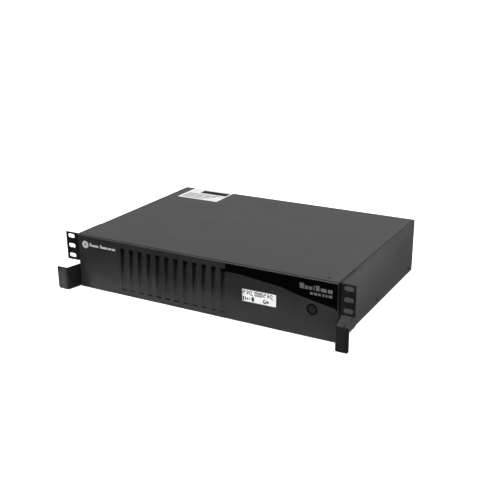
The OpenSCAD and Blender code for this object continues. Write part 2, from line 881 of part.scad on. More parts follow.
module battery_harness() color([0.75, 0.08, 0.06]) {
    z = tray_z + 1 + 33.7 + 1.6;
    x = [-56.5, -43.5];
    y = [tray_y[0] + 15.6, tray_y[0] + 1.6 + cell_l - 14];
    y_plug = tray_y[1] - 4.5;
    difference() {
        block([plug_x - 15, plug_x + 15], [y_plug, bay_y[1] + 10], [plug_z - 8, plug_z + 8]);
        for (dx = [-7, 7])
            bar_y(3.4, [bay_y[1] - 2, bay_y[1] + 11], plug_x + dx, plug_z);
    }
    lead([[x[0], y[0], z], [x[1], y[0], z]], 1.5);
    for (s = [-1, 1]) {
        x_end = plug_x + s * 6.5;
        lead([[x_end, y[1], z], [x_end, y[1] + 6, z], [plug_x + s * 5, y_plug + 1, plug_z]], 1.5);
    }
}

// Transformer

module core_outline() {
    w = 96;
    h = core_z[1] - core_z[0];
    difference() {
        translate([core_x - w / 2, core_z[0]])
            square([w, h]);
        for (s = [-1, 1])
            translate([core_x + s * 24 - 8, core_z[0] + 16])
                square([16, h - 32]);
    }
}

module transformer_core() color([0.30, 0.29, 0.28])
    along_y(core_y)
        core_outline();

module transformer_winding() color([0.72, 0.38, 0.16]) {
    z = [core_z[0] + 16.2, core_z[1] - 16.2];
    difference() {
        union() {
            block([core_x - 31.8, core_x + 31.8], [core_y[0] - 6, core_y[1] + 6], z);
            block([core_x - 24, core_x + 24], [core_y[0] - 14, core_y[1] + 14], z);
            for (x = [core_x - 24, core_x + 24])
                for (y = [core_y[0] - 6, core_y[1] + 6])
                    bar_z(7.8, z, x, y);
        }
        block([core_x - 16.1, core_x + 16.1], core_y, [0, 90]);
    }
}

module transformer_strap() color(zinc) {
    t = 1.2;
    y = [core_y[0] + 18, core_y[1] - 18];
    x = [core_x - 48, core_x + 48];
    block([x[0] - t, x[1] + t], y, [core_z[1], core_z[1] + t]);
    for (s = [0, 1]) {
        side = s == 0 ? [x[0] - t, x[0]] : [x[1], x[1] + t];
        block(side, y, [sheet, core_z[1]]);
    }
    difference() {
        union() {
            block([x[0] - 12, x[0] - t], [core_y[0] - 14, core_y[1] + 14], [sheet, sheet + t]);
            block([x[1] + t, x[1] + 12], [core_y[0] - 14, core_y[1] + 14], [sheet, sheet + t]);
        }
        for (bx = strap_bolt_x)
            for (by = strap_bolt_y)
                bar_z(2.1, [0, 4], bx, by);
    }
}

module transformer_bolts() color(zinc) {
    for (x = strap_bolt_x)
        for (y = strap_bolt_y) {
            translate([x, y, 2 * sheet])
                cylinder(r = 4, h = 3, $fn = 6);
            bar_z(2, [0.2, 2 * sheet], x, y);
        }
}

// Electronics

module main_board() color(board_green) {
    difference() {
        block([-208, 95], [50, 136], [main_z - 1.6, main_z]);
        for (x = board_post_x)
            for (y = board_post_y)
                bar_z(1.7, [main_z - 3, main_z + 1], x, y);
    }
}

module board_posts() color(zinc) {
    for (x = board_post_x)
        for (y = board_post_y) {
            bar_z(3, [sheet, main_z - 1.6], x, y);
            bar_z(1.5, [main_z - 1.6, main_z], x, y);
            bar_z(2.8, [main_z, main_z + 1.8], x, y);
        }
    for (x = comm_post_x) {
        bar_z(3, [sheet, comm_z - 1.6], x, comm_post_y);
        bar_z(1.5, [comm_z - 1.6, comm_z], x, comm_post_y);
        bar_z(2.8, [comm_z, comm_z + 1.8], x, comm_post_y);
    }
}

module heatsinks() color([0.70, 0.71, 0.73]) {
    for (y = heatsink_y) {
        block([-45, 80], [y, y + 4], [main_z, main_z + 52]);
        for (i = [0 : 7])
            block([-45, 80], [y + 4, y + 18], [main_z + 2 + i * 6.6, main_z + 3.5 + i * 6.6]);
    }
}

module power_transistors() color([0.09, 0.09, 0.09]) {
    for (y = heatsink_y)
        for (i = [0 : 5])
            translate([-34 + i * 20, y, main_z]) {
                block([-5, 5], [-4.4, 0], [14, 24]);
                block([-5, 5], [-1.3, 0], [24, 30]);
                for (x = [-2.5, 0, 2.5])
                    block([x - 0.4, x + 0.4], [-2.8, -2.2], [0, 14]);
            }
}

module capacitors() color([0.12, 0.14, 0.24]) {
    for (x = [-150, -128, -106])
        for (y = [66, 88])
            bar_z(9, [main_z, main_z + 36], x, y);
}

module relays() color([0.10, 0.20, 0.45]) {
    for (i = [0 : 3])
        block([-152 + i * 16, -140 + i * 16], [103, 131], [main_z, main_z + 15.5]);
}

module chokes() color([0.70, 0.40, 0.15]) {
    for (y = [72, 106])
        translate([-182, y, main_z + 7])
            rotate_extrude($fn = 48)
                translate([9, 0])
                    circle(r = 5.6, $fn = 24);
}

module internal_leads() color([0.75, 0.62, 0.10]) {
    y_coil = core_y[1] + 15.8;
    lead([[core_x - 20, y_coil, 30], [core_x - 30, 10, 20], [78, 54, main_z + 2]], 1.6);
    lead([[core_x - 14, y_coil, 38], [core_x - 22, 14, 26], [78, 61, main_z + 2]], 1.6);
    lead([[plug_x - 7, bay_y[1] + 19.8, plug_z], [plug_x - 7, 62, main_z + 2]], 1.7);
    lead([[inlet_x, 142.8, outlet_high], [inlet_x, 138, 40], [88, 116, main_z + 2]], 1.4);
}

// Fan

module fan_frame() color([0.10, 0.10, 0.10]) {
    y = [y_in - fan_d, y_in];
    h = fan_size / 2;
    c = 4; // corner cut
    hub_y = [y_in - 3.2, y_in];
    difference() {
        along_y(y)
            translate([fan_x, fan_z])
                polygon([[-h, -h + c], [-h + c, -h], [h - c, -h], [h, -h + c], [h, h - c],
                    [h - c, h], [-h + c, h], [-h, h - c]]);
        bar_y(h - 2, [y[0] - 1, y[1] + 1], fan_x, fan_z);
        for (dx = [-fan_hole, fan_hole])
            for (dz = [-fan_hole, fan_hole])
                bar_y(2.15, [y[0] - 1, y[1] + 1], fan_x + dx, fan_z + dz);
    }
    bar_y(17, hub_y, fan_x, fan_z);
    for (a = [45 : 90 : 315])
        translate([fan_x, 0, fan_z])
            rotate([0, a, 0])
                block([15, h - 1], hub_y, [-2, 2]);
    bar_y(2, [y_in - 18, y_in - 3], fan_x, fan_z);
}

module fan_rotor() color([0.16, 0.16, 0.17]) {
    y = [y_in - 22, y_in - 4];
    difference() {
        union() {
            bar_y(17.5, y, fan_x, fan_z);
            intersection() {
                translate([fan_x, y_in - 13, fan_z])
                    for (i = [0 : blade_count - 1])
                        rotate([0, i * 360 / blade_count, 0])
                            translate([16, 0, 0])
                                rotate([40, 0, 0])
                                    block([0, 22], [-1, 1], [-11, 11]);
                bar_y(37, y, fan_x, fan_z);
            }
        }
        bar_y(2 + run, [y_in - 18.5, y_in], fan_x, fan_z);
    }
}

module fan_guard() color(zinc) {
    y = y_rear + 1.4;
    difference() {
        union() {
            for (r = [12, 20, 28, 36])
                translate([fan_x, y, fan_z])
                    rotate([90, 0, 0])
                        rotate_extrude($fn = 72)
                            translate([r, 0])
                                circle(r = 0.8, $fn = 16);
            for (a = [45, 135])
                translate([fan_x, y_rear + 0.7, fan_z])
                    rotate([0, a, 0])
                        bar_x(0.65, [-50.5, 50.5], 0, 0);
            for (dx = [-fan_hole, fan_hole])
                for (dz = [-fan_hole, fan_hole])
                    bar_y(4, [y_rear, y_rear + 1.4], fan_x + dx, fan_z + dz);
        }
        for (dx = [-fan_hole, fan_hole])
            for (dz = [-fan_hole, fan_hole])
                bar_y(2.1, [y_rear - 1, y_rear + 3], fan_x + dx, fan_z + dz);
    }
}

module fan_screws() color(zinc) {
    for (dx = [-fan_hole, fan_hole])
        for (dz = [-fan_hole, fan_hole])
            rear_screw(fan_x + dx, fan_z + dz, y_rear + 1.4, 3.6, 2.2, 2, fan_d);
}

// Rear sockets

// Six-cornered outline of a mains socket, with two corners cut
module socket_outline(w, h, cut) {
    polygon([[-w / 2, -h / 2], [w / 2, -h / 2], [w / 2, h / 2 - cut], [w / 2 - cut, h / 2],
        [-w / 2 + cut, h / 2], [-w / 2, h / 2 - cut]]);
}

module socket_body(x, z) {
    block([x - 15.5, x + 15.5], [y_rear, y_rear + 1.8], [z - 12, z + 12]);
    block([x - socket_half[0], x + socket_half[0]], [y_rear - 20, y_rear],
        [z - socket_half[1], z + socket_half[1]]);
}

// Places of the two line contacts and the earth contact
contacts = [[-7, -2], [7, -2], [0, 2.5]];

module outlet_sockets() color([0.07, 0.07, 0.07]) {
    for (x = outlet_x)
        for (z = outlet_z)
            difference() {
                socket_body(x, z);
                translate([x, 0, z]) {
                    along_y([y_rear - 14, y_rear + 3])
                        difference() {
                            socket_outline(25, 17, 4);
                            socket_outline(20.6, 12.6, 3);
                        }
                    for (c = contacts)
                        block([c[0] - 1.4, c[0] + 1.4], [y_rear - 16, y_rear + 3],
                            [c[1] - 2.5, c[1] + 2.5]);
                }
            }
}

module outlet_contacts() color(brass) {
    for (x = outlet_x)
        for (z = outlet_z)
            for (c = contacts)
                for (s = [-1, 1])
                    translate([x + c[0] + s * 1.1, 0, z + c[1]])
                        block([-0.25, 0.25], [y_rear - 16, y_rear - 4], [-2, 2]);
}

module ac_inlet() color([0.07, 0.07, 0.07]) {
    difference() {
        socket_body(inlet_x, outlet_high);
        translate([inlet_x, 0, outlet_high])
            along_y([y_rear - 16, y_rear + 3])
                socket_outline(24.6, 16.8, 4);
    }
}

module inlet_pins() color(brass) {
    for (c = contacts)
        translate([inlet_x + c[0], 0, outlet_high + c[1]])
            block([-1, 1], [y_rear - 16, y_rear - 1], [-2, 2]);
}

module breaker_housing() color([0.10, 0.10, 0.10]) {
    difference() {
        union() {
            block([inlet_x - 8, inlet_x + 8], [y_in - 22, y_in], [breaker_z - 8, breaker_z + 8]);
            bar_y(5.9, [y_in - 0.5, y_rear + 4], inlet_x, breaker_z);
            translate([inlet_x, y_rear, breaker_z])
                rotate([-90, 0, 0])
                    cylinder(r = 8.4, h = 2.6, $fn = 6);
        }
        bar_y(3.5 + run, [y_in - 12, y_rear + 5], inlet_x, breaker_z);
    }
}

module breaker_button() color([0.75, 0.1, 0.08]) {
    bar_y(3.5, [y_in - 11, y_rear + 5.4], inlet_x, breaker_z);
}

module comm_board() color(board_green) {
    difference() {
        block([-122, -34], [124, y_in - 0.4], [comm_z - 1.6, comm_z]);
        for (x = comm_post_x)
            bar_z(1.7, [comm_z - 3, comm_z + 1], x, comm_post_y);
    }
}

module network_ports() color([0.55, 0.56, 0.58]) {
    difference() {
        block(network_x, [148, y_rear + 1], [comm_z, comm_z + network_h]);
        for (x = [-112, -96]) {
            block([x - 5.9, x + 5.9], [152, y_rear + 2], [comm_z + 4, comm_z + 11.2]);
            block([x - 3, x + 3], [152, y_rear + 2], [comm_z + 1.6, comm_z + 5]);
        }
    }
}

module usb_port() color([0.72, 0.73, 0.75]) {
    difference() {
        block(usb_x, [150, y_rear + 1.2], [comm_z, comm_z + usb_h]);
        block([-48.4, -39.6], [154, y_rear + 2], [comm_z + 1.4, comm_z + 9.6]);
    }
    block([-46.8, -41.2], [152, y_rear - 0.5], [comm_z + 4, comm_z + 7.2]);
}

module serial_port() color([0.66, 0.67, 0.69]) {
    z = comm_z + 6.2;
    difference() {
        union() {
            block(serial_x, [152, y_rear], [comm_z, comm_z + serial_h]);
            block([-85.5, -54.5], [y_rear, y_rear + 0.9], [z - 6.2, z + 6.2]);
            along_y([y_rear + 0.5, y_rear + 5.8])
                polygon([[-78.2, z + 4.2], [-61.8, z + 4.2], [-63.4, z - 4.2], [-76.6, z - 4.2]]);
        }
        for (i = [0 : 4])
            bar_y(0.6, [y_rear - 4, y_rear + 7], -75.5 + i * 2.75, z + 1.4);
        for (i = [0 : 3])
            bar_y(0.6, [y_rear - 4, y_rear + 7], -74.1 + i * 2.75, z - 1.4);
    }
}

module emergency_off_port() color([0.10, 0.45, 0.20]) {
    difference() {
        union() {
            block([off_x - 6, off_x + 6], [y_rear - 14, y_rear + 0.5], [off_z - 4, off_z + 4]);
            block([off_x - 7.5, off_x + 7.5], [y_rear, y_rear + 1.5], [off_z - 5.5, off_z + 5.5]);
        }
        for (x = [off_x - 3, off_x + 3])
            block([x - 1.8, x + 1.8], [y_rear - 8, y_rear + 2], [off_z - 2, off_z + 2.4]);
    }
}

module slot_cover() color(steel) {
    difference() {
        block([slot_x - 42, slot_x + 42], [y_rear, y_rear + sheet], [slot_z - 22, slot_z + 22]);
        for (dx = slot_screw_x)
            bar_y(1.6, [y_rear - 1, y_rear + 3], slot_x + dx, slot_z);
    }
}

module slot_screws() color(zinc) {
    head_h = rear_out - sheet;
    for (dx = slot_screw_x)
        rear_screw(slot_x + dx, slot_z, y_rear + sheet, 4.6, head_h, 1.5, 5);
}

module earth_stud() color(brass) {
    bar_y(2, [y_rear - 6, y_rear + 5.5], earth_x, earth_z);
    translate([earth_x, y_rear, earth_z])
        rotate([-90, 0, 0])
            cylinder(r = 4.2, h = 2.8, $fn = 6);
}

module top_label() {
    z = body_h;
    x = [-200, -119];
    y = [y_face + 251, y_rear - 0.5];
    color([0.93, 0.93, 0.94])
        block(x, y, [z, z + 0.2]);
    color([0.10, 0.10, 0.10])
        block([-175, -122], [y_face + 288, y_face + 304], [z + 0.2, z + 0.3]);
    color(grey_ink)
        for (i = [0 : 3])
            block([-194, -150 + i * 8], [y_face + 258 + i * 7, y_face + 260 + i * 7], [z + 0.2, z + 0.3]);
}

chassis_base();
top_cover();
rear_panel();
front_bulkhead();
rack_ear_left();
rack_ear_right();
ear_screws();
case_screws();
bezel_studs();
battery_bay();
tray_runners();
battery_socket();
display_board();
display_posts();
lcd_module();
lcd_screen();
lcd_segments();
key_switch();
transformer_core();
transformer_winding();
transformer_strap();
transformer_bolts();
main_board();
board_posts();
heatsinks();
power_transistors();
capacitors();
relays();
chokes();
internal_leads();
fan_frame();
fan_guard();
fan_screws();
ac_inlet();
inlet_pins();
breaker_housing();
outlet_sockets();
outlet_contacts();
comm_board();
network_ports();
usb_port();
serial_port();
emergency_off_port();
slot_cover();
slot_screws();
earth_stud();
top_label();
front_bezel();
wave_panel();
lcd_window();
bezel_marks();
power_button();
button_spring();
battery_door();
door_screws();
battery_tray();
batteries();
battery_harness();
fan_rotor();
breaker_button();
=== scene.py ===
import json
import math

import bmesh
import bpy
from mathutils import Matrix, Vector


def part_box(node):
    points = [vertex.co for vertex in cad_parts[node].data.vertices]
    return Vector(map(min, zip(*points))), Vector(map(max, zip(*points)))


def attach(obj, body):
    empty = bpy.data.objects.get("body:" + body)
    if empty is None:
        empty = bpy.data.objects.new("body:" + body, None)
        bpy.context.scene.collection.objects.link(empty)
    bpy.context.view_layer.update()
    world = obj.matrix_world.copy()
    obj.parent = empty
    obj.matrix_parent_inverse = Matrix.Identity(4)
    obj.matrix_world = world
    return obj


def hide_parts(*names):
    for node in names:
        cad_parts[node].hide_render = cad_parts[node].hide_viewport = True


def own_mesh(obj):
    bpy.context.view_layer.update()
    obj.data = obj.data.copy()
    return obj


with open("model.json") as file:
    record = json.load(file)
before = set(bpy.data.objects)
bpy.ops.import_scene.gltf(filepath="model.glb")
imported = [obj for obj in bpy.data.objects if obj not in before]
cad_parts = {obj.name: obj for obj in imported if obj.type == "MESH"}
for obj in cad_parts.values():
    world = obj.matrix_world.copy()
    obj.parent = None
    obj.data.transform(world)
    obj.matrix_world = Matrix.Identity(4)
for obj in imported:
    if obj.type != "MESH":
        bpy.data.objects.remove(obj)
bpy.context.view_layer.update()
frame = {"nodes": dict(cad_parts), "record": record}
nodes = frame["nodes"]
record = frame["record"]
slot_of = {s["node"]: s["material_slot"] for s in record["subparts"]}
body_of = {n: b for b, members in record["behaviour"]["bodies"].items() for n in members}
MM = 0.001
MATS = {}                                 # every material by its name


# ---------------------------------------------------------------- materials

NOISE_LOW, NOISE_HIGH = 0.3, 0.7          # where most of a noise's values lie
FLAT_DOT, EDGE_DOT = 0.99, 0.80           # true normal . rounded normal, on a flat and on an edge
EDGE_WIDTH = 0.3 * MM                     # how wide the paler edges are
MIX_A, MIX_B, MIX_OUT = 6, 7, 2           # the colour sockets of a Mix node


class Paint:
    """A material, kept in MATS under its name, with short helpers for its node tree."""

    def __init__(self, name):
        self.mat = MATS[name] = bpy.data.materials.new(name)
        self.mat.use_nodes = True
        self.tree = self.mat.node_tree
        self.tree.nodes.clear()
        out = self.tree.nodes.new("ShaderNodeOutputMaterial")
        self.shader = self.tree.nodes.new("ShaderNodeBsdfPrincipled")
        self.link(self.shader.outputs["BSDF"], out.inputs["Surface"])
        self.coords = self.tree.nodes.new("ShaderNodeTexCoord").outputs["Object"]

    def link(self, a, b):
        self.tree.links.new(a, b)

    def node(self, kind, **values):
        n = self.tree.nodes.new("ShaderNode" + kind)
        for key, value in values.items():
            setattr(n, key, value)
        return n

    def mapping(self, scale=(1, 1, 1)):
        m = self.node("Mapping")
        m.inputs["Scale"].default_value = scale
        self.link(self.coords, m.inputs["Vector"])
        return m.outputs["Vector"]

    def noise(self, scale, detail, rough=0.55, stretch=(1, 1, 1)):
        n = self.node("TexNoise")
        n.inputs["Scale"].default_value = scale
        n.inputs["Detail"].default_value = detail
        n.inputs["Roughness"].default_value = rough
        self.link(self.mapping(stretch), n.inputs["Vector"])
        return n.outputs["Fac"]

    def cells(self, scale):
        n = self.node("TexVoronoi")
        n.inputs["Scale"].default_value = scale
        self.link(self.mapping(), n.inputs["Vector"])
        return n.outputs["Distance"]

    def bands(self, scale, direction, distort):
        n = self.node("TexWave", bands_direction=direction)
        n.inputs["Scale"].default_value = scale
        n.inputs["Distortion"].default_value = distort
        self.link(self.mapping(), n.inputs["Vector"])
        return n.outputs["Fac"]

    def span(self, value, low, high, to_low, to_high):
        n = self.node("MapRange")
        n.inputs["From Min"].default_value = low
        n.inputs["From Max"].default_value = high
        n.inputs["To Min"].default_value = to_low
        n.inputs["To Max"].default_value = to_high
        self.link(value, n.inputs["Value"])
        return n.outputs["Result"]

    def even(self, noise, low, high):
        """A noise stretched to run from low to high."""
        return self.span(noise, NOISE_LOW, NOISE_HIGH, low, high)

    def maths(self, operation, a, b):
        n = self.node("Math", operation=operation)
        for socket, value in zip(n.inputs, (a, b)):
            if isinstance(value, (int, float)):
                socket.default_value = value
            else:
                self.link(value, socket)
        return n.outputs["Value"]

    def blend(self, fac, a, b):
        n = self.node("Mix", data_type="RGBA")
        self.link(fac, n.inputs["Factor"])
        for socket, value in ((n.inputs[MIX_A], a), (n.inputs[MIX_B], b)):
            if isinstance(value, tuple):
                socket.default_value = (*value, 1.0)
            else:
                self.link(value, socket)
        return n.outputs[MIX_OUT]

    def edges(self, radius):
        """1 on outer and inner edges narrower than the radius, and 0 on flats."""
        bevel = self.node("Bevel", samples=4)
        bevel.inputs["Radius"].default_value = radius
        dot = self.node("VectorMath", operation="DOT_PRODUCT")
        self.link(bevel.outputs["Normal"], dot.inputs[0])
        self.link(self.node("NewGeometry").outputs["Normal"], dot.inputs[1])
        return self.span(dot.outputs["Value"], FLAT_DOT, EDGE_DOT, 0, 1)

    def bump(self, height, strength, distance):
        n = self.node("Bump")
        n.inputs["Strength"].default_value = strength
        n.inputs["Distance"].default_value = distance
        self.link(height, n.inputs["Height"])
        self.link(n.outputs["Normal"], self.shader.inputs["Normal"])

    def set(self, **values):
        for key, value in values.items():
            name = {"metal": "Metallic", "spec": "Specular IOR Level", "alpha": "Alpha",
                    "glow": "Emission Strength"}[key]
            self.shader.inputs[name].default_value = value

    def colour(self, value):
        self.link(value, self.shader.inputs["Base Color"])

    def rough(self, value):
        self.link(value, self.shader.inputs["Roughness"])


def coated(name, low, high, rough, grain, depth, edge_wear_and_sheen, spec=0.5):
    """Powder-coated or painted metal: fine grain, slow cloudiness, and paler edges, partly wear and
    partly a painted highlight.
    """
    p = Paint(name)
    cloud = p.noise(14, 4)
    fine = p.noise(grain, 2)
    base = p.blend(p.span(cloud, 0.35, 0.65, 0, 1), low, high)
    # Paler edges: partly wear, partly a painted highlight.
    worn_and_sheen = p.maths("MULTIPLY", p.edges(EDGE_WIDTH), p.span(p.noise(420, 3), 0.35, 0.7, 0.15, 0.9))
    p.colour(p.blend(worn_and_sheen, base, edge_wear_and_sheen))
    p.rough(p.maths("ADD", p.even(cloud, *rough), p.even(fine, -0.04, 0.04)))
    p.bump(fine, 0.35, depth)
    p.set(spec=spec)


def moulded(name, low, high, rough, grain=2600, depth=0.00004, spec=0.45, edge_wear_and_sheen=None, glow=0.0):
    """Moulded plastic or print with a spark-eroded grain; paler edges, where given, are partly wear
    and partly a painted highlight; glow keeps white print bright as painted light.
    """
    p = Paint(name)
    cloud = p.noise(22, 3)
    fine = p.noise(grain, 2)
    pits = p.cells(grain * 0.7)
    base = p.blend(p.span(cloud, 0.35, 0.65, 0, 1), low, high)
    # Paler edges, where given: partly wear, partly a painted highlight.
    if edge_wear_and_sheen:
        base = p.blend(p.maths("MULTIPLY", p.edges(EDGE_WIDTH), 0.5), base, edge_wear_and_sheen)
    p.colour(base)
    p.rough(p.even(cloud, *rough))
    p.bump(p.maths("ADD", fine, p.maths("MULTIPLY", pits, 0.6)), 0.3, depth)
    p.link(base, p.shader.inputs["Emission Color"])
    p.set(spec=spec, glow=glow)


def metal(name, low, high, rough, stretch=(1, 1, 1), grain=700, depth=0.00002, spangle=0.0):
    """Bare or plated metal with a brushed grain, or zinc's crystal pattern."""
    p = Paint(name)
    fine = p.noise(grain, 3, 0.6, stretch)
    tone = p.even(fine, 0, 1)
    if spangle:
        tone = p.maths("ADD", p.maths("MULTIPLY", tone, 1 - spangle),
                       p.maths("MULTIPLY", p.cells(110), spangle))
    smear = p.noise(18, 4)
    p.colour(p.blend(tone, low, high))
    p.rough(p.maths("ADD", p.even(smear, *rough), p.even(fine, -0.05, 0.05)))
    p.bump(fine, 0.25, depth)
    p.set(metal=1.0)


def circuit(name):
    """Green solder mask with darker traces under it and bright pads."""
    p = Paint(name)
    traces = p.span(p.bands(95, "X", 9.0), 0.55, 0.62, 0, 1)
    across = p.span(p.bands(60, "Y", 12.0), 0.60, 0.66, 0, 1)
    mask = p.blend(p.maths("MAXIMUM", traces, across), (0.006, 0.075, 0.026), (0.012, 0.13, 0.045))
    pads = p.span(p.cells(330), 0.16, 0.12, 0, 1)
    p.colour(p.blend(p.maths("MULTIPLY", pads, 0.8), mask, (0.62, 0.60, 0.52)))
    p.rough(p.even(p.noise(60, 2), 0.28, 0.42))
    p.bump(traces, 0.3, 0.00003)


def wound(name, low, high, pitch, direction):
    """Enamelled wire laid side by side, darker between the turns and paler on their crowns: painted
    shade and highlight.
    """
    p = Paint(name)
    lay_height_and_shade = p.bands(pitch, direction, 0.4)
    # The colour follows the turns' height: painted shade between them and a painted highlight on
    # their crowns.
    p.colour(p.blend(p.maths("MULTIPLY", lay_height_and_shade, p.even(p.noise(160, 3), 0.6, 1)), low, high))
    p.rough(p.even(p.noise(80, 2), 0.25, 0.4))
    p.bump(lay_height_and_shade, 0.8, 0.00025)
    p.set(metal=0.6)


def laminated(name):
    """Stacked core plates, seen along their edges, under varnish."""
    p = Paint(name)
    plates = p.bands(330, "Y", 0.6)
    p.colour(p.blend(plates, (0.028, 0.024, 0.021), (0.12, 0.11, 0.10)))
    p.rough(p.even(p.noise(50, 4), 0.4, 0.62))
    p.bump(plates, 0.6, 0.0001)
    p.set(metal=0.6)


def lacquer(name):
    """Polished black acrylic with a faint haze."""
    p = Paint(name)
    haze = p.noise(35, 5)
    p.colour(p.blend(haze, (0.0010, 0.0010, 0.0011), (0.0022, 0.0022, 0.0024)))
    p.rough(p.even(haze, 0.07, 0.13))
    p.bump(p.noise(28, 1), 0.02, 0.0002)
    p.set(spec=0.35)


def glowing(name):
    """A backlit liquid-crystal panel, lit a little unevenly."""
    p = Paint(name)
    tone = p.blend(p.even(p.noise(26, 2), 0, 1), (0.88, 0.885, 0.88), (0.95, 0.955, 0.95))
    p.colour(tone)
    p.link(tone, p.shader.inputs["Emission Color"])
    p.rough(p.even(p.noise(900, 1), 0.3, 0.4))
    p.set(glow=0.75)


def clear(name):
    """A clear hard-coated pane."""
    p = Paint(name)
    p.colour(p.blend(p.noise(30, 2), (0.80, 0.84, 0.87), (0.86, 0.89, 0.91)))
    p.rough(p.even(p.noise(60, 2), 0.04, 0.09))
    p.set(alpha=0.10)


def label_paper(name):
    """White polyester label with a fine fibre grain and a darker rim along its edges."""
    p = Paint(name)
    fibre = p.noise(1400, 3, 0.6, (1, 3, 1))
    base = p.blend(p.even(p.noise(40, 3), 0, 1), (0.92, 0.92, 0.93), (0.96, 0.96, 0.97))
    p.colour(p.blend(p.maths("MULTIPLY", p.edges(2 * EDGE_WIDTH), 0.4), base, (0.45, 0.45, 0.46)))
    p.rough(p.even(fibre, 0.42, 0.55))
    p.bump(fibre, 0.15, 0.00002)


coated("black_steel", (0.017, 0.0167, 0.0167), (0.022, 0.0216, 0.0216), (0.42, 0.50), 1500,
       0.00004, (0.09, 0.09, 0.09))
metal("zinc_steel", (0.36, 0.37, 0.39), (0.55, 0.56, 0.58), (0.34, 0.46), spangle=0.5)
coated("black_screws", (0.006, 0.006, 0.006), (0.010, 0.010, 0.010), (0.34, 0.44), 1800, 0.00002,
       (0.12, 0.12, 0.12), spec=0.25)
metal("bright_screws", (0.45, 0.45, 0.46), (0.62, 0.62, 0.63), (0.25, 0.36))
metal("guard_wire", (0.52, 0.52, 0.53), (0.64, 0.64, 0.65), (0.16, 0.26))
metal("spring_wire", (0.45, 0.45, 0.46), (0.60, 0.60, 0.61), (0.22, 0.32))
moulded("nylon_black", (0.020, 0.020, 0.021), (0.028, 0.028, 0.029), (0.4, 0.5))
moulded("nylon_white", (0.70, 0.70, 0.66), (0.78, 0.78, 0.74), (0.4, 0.5))
moulded("plug_grey", (0.10, 0.105, 0.115), (0.13, 0.135, 0.145), (0.4, 0.5))
moulded("lead_red", (0.38, 0.018, 0.012), (0.45, 0.026, 0.018), (0.32, 0.42))
moulded("lead_black", (0.012, 0.012, 0.012), (0.02, 0.02, 0.02), (0.32, 0.42))
moulded("lead_yellow", (0.50, 0.36, 0.03), (0.58, 0.42, 0.05), (0.32, 0.42))
circuit("circuit_board")
moulded("lcd_frame", (0.014, 0.014, 0.015), (0.020, 0.020, 0.021), (0.4, 0.5))
moulded("lcd_ink", (0.006, 0.006, 0.007), (0.010, 0.010, 0.011), (0.5, 0.6), spec=0.2)
moulded("black_plastic", (0.012, 0.012, 0.012), (0.018, 0.018, 0.019), (0.36, 0.46),
        edge_wear_and_sheen=(0.05, 0.05, 0.05))
laminated("lamination")
wound("copper_winding", (0.22, 0.06, 0.02), (0.62, 0.24, 0.09), 260, "Z")
wound("choke_winding", (0.20, 0.06, 0.02), (0.60, 0.24, 0.09), 190, "X")
metal("heatsink_aluminium", (0.60, 0.61, 0.62), (0.72, 0.73, 0.74), (0.3, 0.42), (1, 12, 12))
moulded("transistor_epoxy", (0.014, 0.014, 0.014), (0.02, 0.02, 0.02), (0.5, 0.6))
moulded("capacitor_sleeve", (0.014, 0.02, 0.07), (0.02, 0.028, 0.09), (0.2, 0.3))
moulded("relay_case", (0.014, 0.05, 0.19), (0.02, 0.06, 0.23), (0.2, 0.3))
moulded("socket_black", (0.010, 0.010, 0.010), (0.016, 0.016, 0.017), (0.26, 0.36),
        edge_wear_and_sheen=(0.05, 0.05, 0.05))
metal("brass", (0.55, 0.38, 0.13), (0.74, 0.55, 0.22), (0.22, 0.34))
metal("port_metal", (0.48, 0.48, 0.49), (0.60, 0.60, 0.61), (0.24, 0.34))
moulded("green_plastic", (0.014, 0.17, 0.045), (0.02, 0.22, 0.06), (0.34, 0.44))
label_paper("label_paper")
moulded("label_ink", (0.012, 0.012, 0.013), (0.02, 0.02, 0.021), (0.7, 0.8), spec=0.1)
moulded("label_grey", (0.34, 0.34, 0.35), (0.42, 0.42, 0.43), (0.4, 0.5))
moulded("bezel_plastic", (0.054, 0.054, 0.0545), (0.063, 0.063, 0.0635), (0.40, 0.48), 2200,
        0.00003, 0.5, (0.085, 0.085, 0.086))
# Lighter copy of the bezel plastic for its top faces: a painted highlight.
moulded("bezel_top_painted_sheen", (0.10, 0.10, 0.10), (0.12, 0.12, 0.12), (0.36, 0.44), 2200, 0.00003)
moulded("shadow_black", (0.002, 0.002, 0.002), (0.003, 0.003, 0.003), (0.7, 0.8), spec=0.1)
lacquer("wave_gloss")
clear("window_clear")
# The white print glows a little: painted light that keeps it bright.
moulded("print_white", (0.84, 0.84, 0.85), (0.90, 0.90, 0.91), (0.4, 0.5), glow=0.2)
moulded("print_grey", (0.30, 0.30, 0.31), (0.36, 0.36, 0.37), (0.4, 0.5))
moulded("button_plastic", (0.026, 0.026, 0.026), (0.032, 0.032, 0.032), (0.36, 0.44))
moulded("battery_case", (0.020, 0.021, 0.024), (0.028, 0.029, 0.033), (0.46, 0.56), 1200, 0.0001)
moulded("breaker_red", (0.36, 0.016, 0.012), (0.42, 0.02, 0.016), (0.2, 0.3))
glowing("lcd_glow")
# Near-black seal material; round the cover it also paints the shade in the seam.
moulded("seal_rubber", (0.002, 0.002, 0.002), (0.004, 0.004, 0.004), (0.8, 0.9), spec=0.05)
metal("can_top", (0.55, 0.56, 0.57), (0.68, 0.69, 0.70), (0.25, 0.36))
moulded("ferrite", (0.06, 0.09, 0.06), (0.08, 0.12, 0.08), (0.5, 0.6))


# ---------------------------------------------------------------- mesh helpers

SAME_POINT = 0.001 * MM
SAME_PLANE = math.radians(0.3)
SHARP = math.radians(32)                  # edges turned by more than this are rounded


def as_mesh(bm, name):
    """Frees the bmesh after its shape is in a new mesh."""
    mesh = bpy.data.meshes.new(name)
    bm.to_mesh(mesh)
    bm.free()
    return mesh


